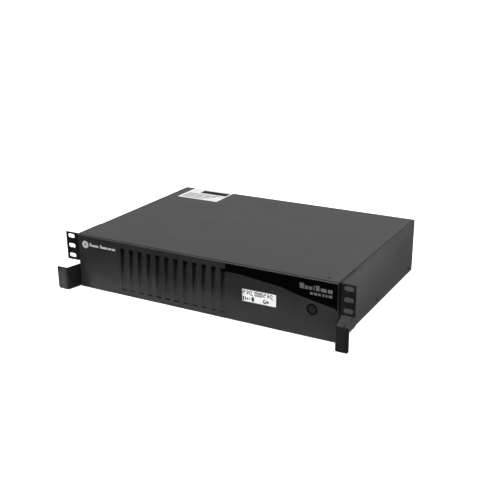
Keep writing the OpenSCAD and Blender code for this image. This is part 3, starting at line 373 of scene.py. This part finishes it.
def place(name, mesh, node, mats, smooth=38.0):
    """Shows a mesh, which stands for a CAD node if one is given."""
    obj = bpy.data.objects.new(name, mesh)
    bpy.context.scene.collection.objects.link(obj)
    for m in mats:
        mesh.materials.append(MATS[m])
    mesh.shade_smooth()
    mesh.set_sharp_from_angle(angle=math.radians(smooth))
    if node:
        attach(obj, body_of[node])
        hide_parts(node)
    return obj


def clean_mesh(node):
    """A CAD node's shape with its flat faces joined up again."""
    bm = bmesh.new()
    bm.from_mesh(nodes[node].data)
    bmesh.ops.remove_doubles(bm, verts=bm.verts, dist=SAME_POINT)
    bmesh.ops.dissolve_limit(bm, angle_limit=SAME_PLANE, use_dissolve_boundaries=False,
                             verts=bm.verts, edges=bm.edges, delimit={"NORMAL"})
    return bm


def bevel(bm, edges, width, segments):
    """Rounds the given edges."""
    return bmesh.ops.bevel(bm, geom=edges, offset=width, offset_type="OFFSET", segments=segments,
                           profile=0.5, affect="EDGES", clamp_overlap=True)


def refine(node, width, segments=2, mats=None, pick=None, only=None):
    """A CAD node's shape with its sharp edges rounded, or those that only() picks, so that
    they catch the light; pick() chooses a face's material from its centre."""
    bm = clean_mesh(node)
    if width:
        bevel(bm, [e for e in bm.edges if len(e.link_faces) == 2
                   and e.calc_face_angle(0.0) > SHARP and (only is None or only(e))],
              width, segments)
    if pick:
        for f in bm.faces:
            f.material_index = pick(f.calc_center_median())
    name = node + "_shape"
    obj = place(name, as_mesh(bm, name), node, mats or [slot_of[node]])
    weighted = obj.modifiers.new("normals", "WEIGHTED_NORMAL")
    weighted.keep_sharp = True
    weighted.weight = 100


def finish_mesh(bm, name, node, mats, smooth=38.0):
    """Shows a bmesh, with its faces turned outwards."""
    bmesh.ops.recalc_face_normals(bm, faces=bm.faces)
    return place(name, as_mesh(bm, name), node, mats, smooth)


def frame_at(centre, axis, side=None):
    """A matrix whose Z runs along the axis."""
    z = Vector(axis).normalized()
    x = Vector(side) if side else z.orthogonal()
    x = (x - z * x.dot(z)).normalized()
    y = z.cross(x)
    turn = Matrix((x, y, z)).transposed()
    return Matrix.Translation(Vector(centre)) @ turn.to_4x4()


def in_mm(profile):
    return [(r * MM, h * MM) for r, h in profile]


def lathe(bm, profile, at, sides=48, mat=0, ripple=None):
    """Turns a list of (radius, height) about an axis; ripple(radius, height, angle) shifts both."""
    rings = []
    for r, h in profile:
        if r == 0:
            rings.append([bm.verts.new(at @ Vector((0, 0, h)))])
            continue
        ring = []
        for i in range(sides):
            a = 2 * math.pi * i / sides
            q, z = ripple(r, h, a) if ripple else (r, h)
            ring.append(bm.verts.new(at @ Vector((q * math.cos(a), q * math.sin(a), z))))
        rings.append(ring)
    for low, high in zip(rings, rings[1:]):
        for i in range(sides):
            j = (i + 1) % sides
            if len(low) == 1:
                f = bm.faces.new((low[0], high[j], high[i]))
            elif len(high) == 1:
                f = bm.faces.new((low[i], low[j], high[0]))
            else:
                f = bm.faces.new((low[i], low[j], high[j], high[i]))
            f.material_index = mat


def smooth_path(points, steps=10):
    """A Catmull-Rom curve through the points."""
    pts = [Vector(p) for p in points]
    pts = [2 * pts[0] - pts[1]] + pts + [2 * pts[-1] - pts[-2]]
    out = []
    for a, b, c, d in zip(pts, pts[1:], pts[2:], pts[3:]):
        for i in range(steps):
            t = i / steps
            out.append(0.5 * (2 * b + (c - a) * t + (2 * a - 5 * b + 4 * c - d) * t * t
                              + (3 * b - a - 3 * c + d) * t ** 3))
    out.append(pts[-2])
    return out


def tube(bm, path, radius, sides=16, mat=0, closed=False):
    """Sweeps a round section along a path."""
    n = len(path)
    rings = []
    side = None
    for i, p in enumerate(path):
        if closed:
            along = path[(i + 1) % n] - path[i - 1]
        else:
            along = path[min(i + 1, n - 1)] - path[max(i - 1, 0)]
        along.normalize()
        side = along.orthogonal() if side is None else side - along * side.dot(along)
        side.normalize()
        up = along.cross(side)
        rings.append([bm.verts.new(p + radius * (side * math.cos(a) + up * math.sin(a)))
                      for a in (2 * math.pi * k / sides for k in range(sides))])
    pairs = list(zip(rings, rings[1:])) + ([(rings[-1], rings[0])] if closed else [])
    for low, high in pairs:
        for k in range(sides):
            j = (k + 1) % sides
            bm.faces.new((low[k], low[j], high[j], high[k])).material_index = mat
    if not closed:
        for ring in (rings[0], rings[-1]):
            bm.faces.new(ring).material_index = mat


def rounded_box(bm, low, high, width, segments=2, mat=0):
    """A box with rounded edges."""
    size = Vector(high) - Vector(low)
    at = Matrix.Translation((Vector(low) + Vector(high)) / 2) @ Matrix.Diagonal((*size, 1))
    made = bmesh.ops.create_cube(bm, size=1, matrix=at)["verts"]
    edges = list(dict.fromkeys(e for v in made for e in v.link_edges))   # always in one order
    out = bevel(bm, edges, width, segments)
    faces = set(out["faces"]) | {f for v in out["verts"] for f in v.link_faces}
    for f in faces:
        f.material_index = mat


def carve(mesh, cutter):
    """Cuts the cutter's shape out of a mesh."""
    bmesh.ops.recalc_face_normals(cutter, faces=cutter.faces)
    tool_mesh = as_mesh(cutter, "cutter")
    tool = bpy.data.objects.new("cutter", tool_mesh)
    body = bpy.data.objects.new("carved", mesh)
    for o in (tool, body):
        bpy.context.scene.collection.objects.link(o)
    cut = body.modifiers.new("cut", "BOOLEAN")
    cut.operation = "DIFFERENCE"
    cut.solver = "EXACT"
    cut.object = tool
    shape = bpy.data.meshes.new_from_object(body.evaluated_get(
        bpy.context.evaluated_depsgraph_get()))
    for o in (tool, body):
        bpy.data.objects.remove(o)
    bpy.data.meshes.remove(tool_mesh)
    bpy.data.meshes.remove(mesh)
    return shape


# ---------------------------------------------------------------- pieces

for node, obj in nodes.items():
    obj.data.materials.clear()
    obj.data.materials.append(MATS[slot_of[node]])

# node: the radius of its edges in mm, and how many steps round it
REFINED = {
    "chassis_base": (0.35, 3), "rear_panel": (0.2, 2), "heatsinks": (0.2, 2),
    "front_bulkhead": (0.2, 2), "rack_ear_left": (0.3, 3), "rack_ear_right": (0.3, 3),
    "slot_cover": (0.3, 3), "battery_door": (0.25, 2), "battery_tray": (0.2, 2),
    "battery_bay": (0.2, 2), "outlet_sockets": (0.25, 2), "ac_inlet": (0.3, 2),
    "fan_frame": (0.3, 2), "breaker_housing": (0.25, 2), "network_ports": (0.15, 2),
    "usb_port": (0.15, 2), "emergency_off_port": (0.2, 2), "serial_port": (0.12, 2),
    "ear_screws": (0.12, 2), "case_screws": (0.12, 2), "fan_screws": (0.15, 2),
    "transformer_bolts": (0.2, 2), "transformer_strap": (0.2, 2), "transformer_winding": (1.2, 3),
    "transformer_core": (0.4, 2), "relays": (0.5, 2), "wave_panel": (0.15, 2),
    "tray_runners": (0.2, 2), "battery_socket": (0.5, 2), "lcd_window": (0.12, 2),
    "fan_guard": (0, 0), "lcd_module": (0.2, 2), "earth_stud": (0.15, 2), "key_switch": (0.15, 2),
}
for node, (radius, segments) in REFINED.items():
    refine(node, radius * MM, segments)

# The seal round the cover is part of its node: the outer sides, the front, and the seal's top get
# the near-black seal material, partly the seal's own black and partly painted shade in the seam.
cover_low, cover_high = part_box("top_cover")
seal_x = cover_high.x - 1.15 * MM
seal_y = cover_low.y + 0.75 * MM
seal_z = cover_high.z - 0.8 * MM
near_seal = 0.05 * MM
refine("top_cover", 0.3 * MM, 3, mats=["black_steel", "seal_rubber"],
       pick=lambda c: int(abs(c.x) > seal_x or c.y < seal_y or abs(c.z - seal_z) < near_seal))

# The bezel's top faces get a lighter copy of its plastic, a painted highlight; the button's bore
# and the low drain slots get shadow_black, a painted shadow.
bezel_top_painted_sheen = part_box("front_bezel")[1].z - 0.7 * MM
button_low, button_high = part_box("power_button")
button_x = (button_low.x + button_high.x) / 2
button_z = (button_low.z + button_high.z) / 2
bore_near, bore_far = 7.8 * MM, 8.6 * MM
bore_front = button_low.y + 0.5 * MM
slots_low, slots_high = 9 * MM, 11.6 * MM
slots_back = button_low.y + 2.6 * MM
key_face_r = 5.6 * MM
key_side = button_low.y + 1.2 * MM


def from_button(c):
    return math.hypot(c.x - button_x, c.z - button_z)


def bezel_part(c):
    if bore_near < from_button(c) < bore_far and c.y > bore_front:
        return 2
    if slots_low < c.z < slots_high and button_low.y < c.y < slots_back:
        return 2
    return 1 if c.z > bezel_top_painted_sheen else 0


refine("front_bezel", 0.35 * MM, 3, mats=["bezel_plastic", "bezel_top_painted_sheen", "shadow_black"],
       pick=bezel_part)
# The button's sides and the groove round its face get shadow_black: painted shadow.
refine("power_button", 0.2 * MM, 3, mats=["button_plastic", "shadow_black"],
       pick=lambda c: 1 if c.y > key_side or from_button(c) > key_face_r else 0)

# Print stands on the label's paper.
print_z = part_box("top_label")[0].z + 0.23 * MM
refine("top_label", 0, mats=["label_paper", "label_ink"],
       pick=lambda c: 0 if c.z < print_z else 1)
refine("bezel_marks", 0, mats=["print_white", "print_grey"],
       pick=lambda c: 1 if c.x > 0 else 0)


# Fan rotor, in mm and degrees: the hub's profile (radius, height) from the back, and one blade.
HUB = ((0, 3.6), (2.05, 3.6), (2.05, 0.1), (15.6, 0.1), (15.6, 0), (17.2, 0), (17.5, 0.3),
       (17.5, 16.6), (17.1, 17.5), (16.2, 17.9), (13.6, 18), (13.2, 17.6), (4.6, 17.5),
       (4.2, 17.2), (0, 17.2))
HUB_HALF = 9
BLADES = 7
BLADE_ROOT, BLADE_LENGTH = 17, 19.7
CHORD_HALF, CHORD_GROWTH, CHORD_STRETCH = 6.9, 1.2, 1.12
PITCH_ROOT, PITCH_FALL = 47, 12
CAMBER = 1.5
EDGE_THICK, MID_THICK, THICK_FALL = 0.35, 0.55, 0.35
SWEEP, SWEEP_START = 1.2, -0.9
CHORD_STEPS, RADIAL_STEPS = 14, 9


def blade_point(out, t, side):
    """A blade's radius, and its place along the axle and round it, in mm: out runs from the root
    to the tip, t across the chord from -1 to 1, and side is 1 or -1."""
    pitch = math.radians(PITCH_ROOT - PITCH_FALL * out)
    along = t * (CHORD_HALF + CHORD_GROWTH * out) * CHORD_STRETCH
    lift = (1 - t * t) * CAMBER
    lift += (EDGE_THICK + MID_THICK * (1 - t * t)) * (1 - THICK_FALL * out) * side
    axial = math.cos(pitch) * lift - math.sin(pitch) * along
    around = math.cos(pitch) * along + math.sin(pitch) * lift + SWEEP * out * out + SWEEP_START
    return BLADE_ROOT + BLADE_LENGTH * out, axial, around


def build_rotor():
    """Fan hub with a stepped rim, and swept blades with a curved section."""
    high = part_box("fan_rotor")[1]
    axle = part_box("fan_guard")
    axle = (axle[0] + axle[1]) / 2
    mid = high.y - HUB_HALF * MM
    at = frame_at((axle.x, high.y, axle.z), (0, -1, 0), (1, 0, 0))
    bm = bmesh.new()
    lathe(bm, in_mm(HUB), at, 72)
    for i in range(BLADES):
        start = 2 * math.pi * i / BLADES
        grid = {}
        for side in (1, -1):
            for j in range(RADIAL_STEPS + 1):
                for k in range(CHORD_STEPS + 1):
                    r, axial, around = blade_point(j / RADIAL_STEPS, 2 * k / CHORD_STEPS - 1, side)
                    a = start - around / r
                    grid[side, j, k] = bm.verts.new((axle.x + r * MM * math.cos(a),
                                                     mid + axial * MM,
                                                     axle.z - r * MM * math.sin(a)))
        for side in (1, -1):
            for j in range(RADIAL_STEPS):
                for k in range(CHORD_STEPS):
                    bm.faces.new([grid[side, j + dj, k + dk]
                                  for dj, dk in ((0, 0), (1, 0), (1, 1), (0, 1))])
        for j in range(RADIAL_STEPS):
            for k in (0, CHORD_STEPS):
                bm.faces.new((grid[1, j, k], grid[1, j + 1, k],
                              grid[-1, j + 1, k], grid[-1, j, k]))
        for k in range(CHORD_STEPS):
            for j in (0, RADIAL_STEPS):
                bm.faces.new((grid[1, j, k], grid[1, j, k + 1],
                              grid[-1, j, k + 1], grid[-1, j, k]))
    finish_mesh(bm, "fan_rotor_shape", "fan_rotor", [slot_of["fan_rotor"]], 50)


# Capacitor, in mm: the sleeved can and its scored top, each as (radius, height).
CAN_RADIUS = 9
CAN = ((0, 0), (8.2, 0), (8.8, 0.5), (8.95, 1.2), (8.95, 2.6), (8.2, 3.3), (8.2, 3.7), (8.95, 4.4),
       (9, 5), (9, 34.6), (8.8, 35.3), (8.3, 35.8), (7.8, 36), (7.5, 35.8))
CAN_TOP = ((7.5, 35.8), (7.4, 35.3), (6.4, 35.3), (5, 35.3), (3.6, 35.3), (2.4, 35.3), (1.2, 35.3),
           (0, 35.3))
SCORE_FROM, SCORE_TO, SCORE_DEPTH, SCORE_WIDTH = 1.2, 6.4, 0.3, 0.06


def scored(radius, height, angle):
    """Three grooves across the top of a can."""
    groove = abs(math.sin(1.5 * angle)) < SCORE_WIDTH and SCORE_FROM * MM < radius < SCORE_TO * MM
    return radius, height - (SCORE_DEPTH * MM if groove else 0)


def build_capacitors():
    """Sleeved cans with a crimped foot and a scored aluminium top."""
    low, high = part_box("capacitors")
    r = CAN_RADIUS * MM
    bm = bmesh.new()
    for x in (low.x + r, (low.x + high.x) / 2, high.x - r):
        for y in (low.y + r, high.y - r):
            at = frame_at((x, y, low.z), (0, 0, 1))
            lathe(bm, in_mm(CAN), at, 72)
            lathe(bm, in_mm(CAN_TOP), at, 120, 1, scored)
    finish_mesh(bm, "capacitors_shape", "capacitors", [slot_of["capacitors"], "can_top"], 30)


# Choke, in mm: the core's ring, its section (out from the ring, height), and the wire round it.
CORE_RING = 9
CORE = ((3.6, -4.2), (4.2, -3.6), (4.2, 3.6), (3.6, 4.2), (-3.6, 4.2), (-4.2, 3.6), (-4.2, -3.6),
        (-3.6, -4.2), (3.6, -4.2))
CHOKE_TURNS = 24
STEPS_A_TURN = 16
CHOKE_WIRE = 0.5
WIRE_LOOP, LOOP_SQUARENESS = 4.85, -0.12


def build_chokes():
    """Toroid cores with enamelled wire wound round them."""
    low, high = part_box("chokes")
    size = (high.x - low.x) / 2
    ring = CORE_RING * MM
    steps = CHOKE_TURNS * STEPS_A_TURN
    bm = bmesh.new()
    for y in (low.y + size, high.y - size):
        centre = Vector((low.x + size, y, (low.z + high.z) / 2))
        lathe(bm, in_mm((CORE_RING + out, h) for out, h in CORE), frame_at(centre, (0, 0, 1)),
              64, 1)
        path = []
        for i in range(steps):
            a = 2 * math.pi * i / steps
            b = a * CHOKE_TURNS
            bulge = WIRE_LOOP * MM * (math.cos(b) ** 4 + math.sin(b) ** 4) ** LOOP_SQUARENESS
            r = ring + bulge * math.cos(b)
            path.append(centre + Vector((r * math.cos(a), r * math.sin(a), bulge * math.sin(b))))
        tube(bm, path, CHOKE_WIRE * MM, 8, 0, closed=True)
    finish_mesh(bm, "chokes_shape", "chokes", [slot_of["chokes"], "ferrite"], 50)


# Each inside lead, in mm: its material, its radius, and the points it runs through.
LEAD_RUNS = (
    (0, 1.6, ((130, -14.2, 30), (120, 10, 20.5), (78, 54, 15.6))),
    (1, 1.6, ((136, -14.2, 38), (128, 14, 26.5), (78, 61, 15.6))),
    (2, 1.7, ((-57, 57.3, 28), (-57, 59.6, 21.8), (-57, 62, 15.6))),
    (3, 1.4, ((102, 142.8, 60), (102, 138, 40), (88, 116, 15.6))),
)


def build_leads():
    """Round insulated wires between the transformer, the battery plug, the inlet and the board."""
    bm = bmesh.new()
    for mat, radius, points in LEAD_RUNS:
        path = smooth_path([Vector(p) * MM for p in points], 12)
        tube(bm, path, radius * MM, 16, mat)
    finish_mesh(bm, "internal_leads_shape", "internal_leads",
                [slot_of["internal_leads"], "lead_black", "lead_red", "nylon_white"], 50)


# Battery harness, in mm.
PLUG_DEPTH, PLUG_HEIGHT, PLUG_ROUNDING = 17, 16, 1.2
BORE_X, BORE_RADIUS, BORE_DEPTH, BORE_START = 7, 3.4, 14, 2
SLEEVE = ((2.2, 9.5), (2.2, 0), (2.9, 0), (2.9, 9.5))
WIRE_RADIUS, WIRE_X, WIRE_IN_PLUG_X = 1.5, 6.5, 5
WIRE_STRAIGHT, WIRE_BEND, WIRE_DROP = 124.5, 5.5, 0.3


def build_harness():
    """A rounded two-way plug with brass sleeves, and the wires that lead to it."""
    low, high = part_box("battery_harness")
    mid = (low.x + high.x) / 2
    back = high.y
    front = back - PLUG_DEPTH * MM
    axis_z = low.z + PLUG_HEIGHT / 2 * MM
    bm = bmesh.new()
    rounded_box(bm, (low.x, front, low.z), (high.x, back, low.z + PLUG_HEIGHT * MM),
                PLUG_ROUNDING * MM, 3)
    plug = as_mesh(bm, "plug")
    cutter = bmesh.new()
    for dx in (-BORE_X, BORE_X):
        at = frame_at((mid + dx * MM, back + BORE_START * MM, axis_z), (0, -1, 0))
        lathe(cutter, in_mm(((0, 0), (BORE_RADIUS, 0), (BORE_RADIUS, BORE_DEPTH), (0, BORE_DEPTH))),
              at, 48)
    bm = bmesh.new()
    bm.from_mesh(carve(plug, cutter))
    for dx in (-BORE_X, BORE_X):
        at = frame_at((mid + dx * MM, back - BORE_START * MM, axis_z), (0, -1, 0))
        lathe(bm, in_mm(SLEEVE), at, 40, 2)
    wire = WIRE_RADIUS * MM
    z = high.z - wire
    start, bend = low.y + wire, low.y + WIRE_STRAIGHT * MM
    tube(bm, [Vector((mid + sign * WIRE_X * MM, start, z)) for sign in (-1, 1)], wire, 20)
    for sign, mat in ((-1, 0), (1, 1)):
        x = mid + sign * WIRE_X * MM
        path = smooth_path([(x, bend, z), (x, bend + WIRE_BEND * MM, z - WIRE_DROP * MM),
                            (mid + sign * WIRE_IN_PLUG_X * MM, front + MM, axis_z)], 12)
        tube(bm, path, wire, 20, mat)
    finish_mesh(bm, "battery_harness_shape", "battery_harness",
                [slot_of["battery_harness"], "lead_black", "brass"], 40)


KNURL_TEETH, KNURL_DEPTH = 36, 0.035
SCREW_SLOT = (1.5, 1.1 * MM, 2 * MM)      # its length over the head's radius, its width, its depth


def build_thumbscrews(node, towards, radius, head, shank_r, shank):
    """Knurled captive screws with a slot across the head; sizes are in mm."""
    low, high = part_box(node)
    bm = bmesh.new()
    cutter = bmesh.new()

    def knurl(r, h, angle):
        worn_and_sheen = KNURL_DEPTH * (0.5 + 0.5 * math.cos(KNURL_TEETH * angle))
        return (r * (1 - worn_and_sheen) if r > radius * 0.97 * MM else r), h

    profile = in_mm(((0, -shank), (shank_r * 0.8, -shank), (shank_r, 0.4 - shank), (shank_r, 0),
                     (radius - 0.5, 0), (radius, 0.5), (radius, head - 0.8),
                     (radius - 0.7, head - 0.2), (radius - 1.2, head), (0, head)))
    base = (low.y + head * MM) if towards < 0 else (high.y - head * MM)
    z = (low.z + high.z) / 2
    for x in (low.x + radius * MM, high.x - radius * MM):
        at = frame_at((x, base, z), (0, towards, 0))
        lathe(bm, profile, at, KNURL_TEETH * 6, 0, knurl)
        top = at @ Matrix.Translation((0, 0, head * MM)) @ Matrix.Diagonal(
            (radius * MM * SCREW_SLOT[0], *SCREW_SLOT[1:], 1))
        bmesh.ops.create_cube(cutter, size=1, matrix=top)
    bmesh.ops.recalc_face_normals(bm, faces=bm.faces)
    mesh = carve(as_mesh(bm, node + "_blank"), cutter)
    mesh.name = node + "_shape"
    place(node + "_shape", mesh, node, [slot_of[node]], 30)


SPRING_RADIUS, SPRING_WIRE, SPRING_TURNS, SPRING_STEPS = 4.5, 0.35, 3, 28


def build_button_spring():
    """A round coil round the button's axis; the real spring shortens as the button is pressed."""
    low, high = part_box("button_spring")
    wire = SPRING_WIRE * MM
    ring = SPRING_RADIUS * MM
    steps = SPRING_TURNS * SPRING_STEPS
    rise = (high.y - low.y - 2 * wire) / steps
    path = []
    for i in range(steps + 1):
        a = 2 * math.pi * i / SPRING_STEPS
        path.append(Vector((button_x + ring * math.cos(a), low.y + wire + i * rise,
                            button_z + ring * math.sin(a))))
    bm = bmesh.new()
    tube(bm, path, wire, 12)
    obj = finish_mesh(bm, "button_spring_shape", "button_spring", [slot_of["button_spring"]], 50)
    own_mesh(obj)


INK_SPREAD = 0.26 * MM
CHART_FROM_LEFT, CHART_HALF, CHART_HEIGHT = 26 * MM, 6.8 * MM, 7 * MM


def build_display_ink():
    """The display's dark shapes, with their outlines spread a little, as on a lit panel. The fine
    chart in the middle is left as it is."""
    low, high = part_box("lcd_segments")
    chart_x = low.x + CHART_FROM_LEFT
    chart_z = high.z - CHART_HEIGHT
    bm = clean_mesh("lcd_segments")
    bm.normal_update()
    for v in bm.verts:
        out = Vector((v.normal.x, 0, v.normal.z))
        chart = abs(v.co.x - chart_x) < CHART_HALF and v.co.z > chart_z
        if out.length > 0.1 and not chart:
            v.co += out.normalized() * INK_SPREAD
    finish_mesh(bm, "lcd_segments_shape", "lcd_segments", [slot_of["lcd_segments"]])


build_rotor()
build_capacitors()
build_chokes()
build_leads()
build_harness()
build_button_spring()
build_display_ink()
build_thumbscrews("door_screws", -1, 5, 7, 1.95, 5.5)
build_thumbscrews("slot_screws", 1, 4.6, 5.3, 1.5, 5)

# Only the cases' long edges are rounded, and the thin tabs between the two batteries are brass.
long_edge = 50 * MM
tab_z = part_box("battery_harness")[1].z - 2.2 * MM
tab_x = sum(c.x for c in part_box("batteries")) / 2
tab_reach, tab_thick = 11.2 * MM, 0.9 * MM
refine("batteries", 1.2 * MM, 3, mats=["battery_case", "brass"],
       pick=lambda c: int(abs(c.x - tab_x) < tab_reach and abs(c.z - tab_z) < tab_thick),
       only=lambda e: e.calc_length() > long_edge)

# Battery label, in mm from its left front corner: (x range, y range, material, height).
LABEL_BARS = ((52, 1), (44, 2), (48, 2), (30, 2), (40, 2), (22, 3))
LABEL_PATCHES = (((0, 66), (0, 102), 0, 0.15), ((2, 64), (80, 100), 1, 0.2),
                 ((5, 40), (87, 93), 0, 0.25),
                 *(((6, 6 + length), (66 - 11 * i, 70 - 11 * i), mat, 0.2)
                   for i, (length, mat) in enumerate(LABEL_BARS)))
LABEL_LEFT, LABEL_RIGHT, LABEL_FRONT = 12, -78, 24


def build_battery_labels():
    """A plain label on each battery: a dark strip and bars in place of text."""
    low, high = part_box("batteries")
    bm = bmesh.new()
    front = low.y / MM + LABEL_FRONT
    for left in (low.x / MM + LABEL_LEFT, high.x / MM + LABEL_RIGHT):
        for x, y, mat, lift in LABEL_PATCHES:
            rounded_box(bm, ((left + x[0]) * MM, (front + y[0]) * MM, high.z),
                        ((left + x[1]) * MM, (front + y[1]) * MM, high.z + lift * MM),
                        0.03 * MM, 1, mat)
    obj = place("battery_labels", as_mesh(bm, "battery_labels"), None,
                ["label_paper", "label_ink", "label_grey", "lead_red"])
    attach(obj, body_of["batteries"])


# Display board parts, in mm in the model's X and Z: centre, size, height, material, rounding.
EPOXY, PIN, HEADER, CHIP, CAN_BODY = range(5)
BOARD_MATS = ["transistor_epoxy", "bright_screws", "nylon_white", "plug_grey", "can_top"]
BOARD_PARTS = [((152, 47), (10, 10), 1.7, EPOXY, 0.3)]
for i in range(8):
    step = (i - 3.5) * 1.2
    BOARD_PARTS += [((152 + step, 47), (0.45, 12.6), 0.5, PIN, 0.1),
                    ((152, 47 + step), (12.6, 0.45), 0.5, PIN, 0.1)]
for i in range(6):
    BOARD_PARTS += [((140.5, 34 + 4 * i), (1.1, 1.7), 0.7, EPOXY, 0.1),
                    ((140.5, 34 + 4 * i), (1, 2.5), 0.6, PIN, 0.1)]
for i in range(5):
    BOARD_PARTS += [((144 + 4 * i, 36), (1.2, 1.6), 0.9, CHIP, 0.1),
                    ((144 + 4 * i, 36), (1.1, 2.3), 0.8, PIN, 0.1)]
BOARD_PARTS.append(((150, 28), (18, 5.4), 5, HEADER, 0.3))
for i in range(6):
    BOARD_PARTS.append(((143.75 + 2.5 * i, 28), (0.7, 0.7), 6.4, PIN, 0.1))
SMALL_CAN = ((0, 0), (2.4, 0), (2.5, 0.3), (2.5, 4.6), (2.2, 5), (1.9, 4.9), (0, 4.9))
SMALL_CANS_AT = ((163.5, 57), (156.5, 57))


def build_board_parts():
    """A controller chip, small parts and a ribbon header on the front of the display board."""
    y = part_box("display_board")[0].y
    bm = bmesh.new()
    for x, z in SMALL_CANS_AT:
        lathe(bm, in_mm(SMALL_CAN), frame_at((x * MM, y, z * MM), (0, -1, 0)), 40, CAN_BODY)
    for (x, z), size, height, mat, rounding in BOARD_PARTS:
        half = (size[0] / 2 * MM, size[1] / 2 * MM)
        rounded_box(bm, (x * MM - half[0], y - height * MM, z * MM - half[1]),
                    (x * MM + half[0], y, z * MM + half[1]), rounding * MM, 2, mat)
    obj = finish_mesh(bm, "board_parts", None, BOARD_MATS)
    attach(obj, body_of["display_board"])


build_battery_labels()
build_board_parts()

# The transistors' legs are bright, up to where the epoxy starts.
leg_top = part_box("power_transistors")[0].z + 13.9 * MM
refine("power_transistors", 0.15 * MM, 2, mats=["transistor_epoxy", "bright_screws"],
       pick=lambda c: 1 if c.z < leg_top else 0)


# ---------------------------------------------------------------- stage, light, camera

FLOOR_HALF = 40
FLOOR_GLOW = 0.93                         # keeps the pale floor even, as in the photograph


def stage_floor():
    """A plain pale floor that throws no light on the object."""
    bm = bmesh.new()
    bmesh.ops.create_grid(bm, x_segments=8, y_segments=8, size=FLOOR_HALF)
    mesh = as_mesh(bm, "floor")
    obj = bpy.data.objects.new("floor", mesh)
    bpy.context.scene.collection.objects.link(obj)
    p = Paint("floor_paint")
    p.colour(p.blend(p.noise(3, 2), (0.90, 0.90, 0.90), (0.92, 0.92, 0.92)))
    p.rough(p.even(p.noise(5, 2), 0.75, 0.85))
    p.shader.inputs["Emission Color"].default_value = (1, 1, 1, 1)
    p.set(glow=FLOOR_GLOW, spec=0.2)
    mesh.materials.append(p.mat)
    obj.visible_glossy = False
    obj.visible_diffuse = False


def soft_light(name, at, towards, size, power, spread):
    data = bpy.data.lights.new(name, "AREA")
    data.shape = "RECTANGLE"
    data.size, data.size_y = size
    data.energy = power
    data.spread = math.radians(spread)
    obj = bpy.data.objects.new(name, data)
    obj.location = at
    obj.rotation_euler = (Vector(towards) - Vector(at)).to_track_quat("-Z", "Y").to_euler()
    bpy.context.scene.collection.objects.link(obj)


def studio_world():
    """A pale ceiling and back wall, and a dim room in front."""
    world = bpy.data.worlds.new("studio")
    world.use_nodes = True
    tree = world.node_tree
    back = tree.nodes["Background"]
    coords = tree.nodes.new("ShaderNodeTexCoord")
    parts = tree.nodes.new("ShaderNodeSeparateXYZ")
    tree.links.new(coords.outputs["Generated"], parts.inputs["Vector"])

    def span(value, low, high, to_low, to_high):
        n = tree.nodes.new("ShaderNodeMapRange")
        n.interpolation_type = "SMOOTHSTEP"
        for key, v in (("From Min", low), ("From Max", high),
                       ("To Min", to_low), ("To Max", to_high)):
            n.inputs[key].default_value = v
        tree.links.new(value, n.inputs["Value"])
        return n.outputs["Result"]

    def maths(operation, a, b):
        n = tree.nodes.new("ShaderNodeMath")
        n.operation = operation
        tree.links.new(a, n.inputs[0])
        if isinstance(b, float):
            n.inputs[1].default_value = b
        else:
            tree.links.new(b, n.inputs[1])
        return n.outputs["Value"]

    ceiling = span(parts.outputs["Z"], 0.1, 0.9, 0.03, 0.45)
    wall = span(parts.outputs["Y"], 0.0, 0.7, 0.0, 0.52)
    above = span(parts.outputs["Z"], -0.6, 0.1, 0.3, 1.0)
    total = maths("ADD", ceiling, maths("MULTIPLY", wall, above))
    seen = tree.nodes.new("ShaderNodeLightPath").outputs["Is Camera Ray"]
    total = maths("MAXIMUM", total, maths("MULTIPLY", seen, FLOOR_GLOW))
    tree.links.new(total, back.inputs["Strength"])
    back.inputs["Color"].default_value = (1, 1, 1, 1)
    bpy.context.scene.world = world


# Light: its place, what it points at, its size, its power in watts, and its spread in degrees.
LIGHTS = (
    ("overhead", (0.1, 0.5, 1.6), (0, 0.05, 0), (1.8, 1.2), 8.6, 180),
    ("side", (1.15, 0.45, 0.5), (0.22, 0.0, 0.06), (0.6, 0.5), 6, 180),
    ("near", (0.66, -0.12, 0.14), (0.22, -0.04, 0.06), (0.3, 0.1), 1.3, 180),
    ("shoulder", (1.5, 0.1, 0.13), (0.22, 0.0, 0.12), (0.3, 0.04), 0.18, 8),
    ("front", (-0.15, -1.9, 0.95), (0, -0.15, 0.03), (1.6, 0.5), 8.4, 180),
    ("left", (-1.3, -0.95, 0.02), (-0.15, -0.15, -0.02), (0.7, 0.04), 0.15, 7),
    ("grip", (-0.75, -0.6, -0.01), (-0.30, -0.17, -0.01), (0.12, 0.03), 0.03, 6),
    ("fill", (1.3, -0.85, 0.0), (0.0, -0.15, 0.04), (0.5, 0.3), 3, 180),
    ("far", (-1.6, 0.15, 0.55), (-0.2, 0.05, 0.04), (0.8, 0.6), 4, 180),
)
stage_floor()
studio_world()
for light in LIGHTS:
    soft_light(*light)
bpy.context.scene.view_settings.view_transform = "Standard"

CAMERA_AT = (0.58925, -1.05512, 0.48225)
CAMERA_TURN, CAMERA_ABOVE, CAMERA_ROLL = 28.98, 19.68, -0.44
CAMERA_LENS, CAMERA_SENSOR, CAMERA_REACH = 58.16, 36, 200


def turned(degrees, axis):
    return Matrix.Rotation(math.radians(degrees), 4, axis)


camera_data = bpy.data.cameras.new("camera")
camera_data.sensor_width = CAMERA_SENSOR
camera_data.lens = CAMERA_LENS
camera_data.clip_end = CAMERA_REACH
camera = bpy.data.objects.new("camera", camera_data)
camera.matrix_world = (Matrix.Translation(CAMERA_AT) @ turned(CAMERA_TURN, "Z")
                       @ turned(90 - CAMERA_ABOVE, "X") @ turned(CAMERA_ROLL, "Z"))
bpy.context.scene.collection.objects.link(camera)
bpy.context.scene.camera = camera
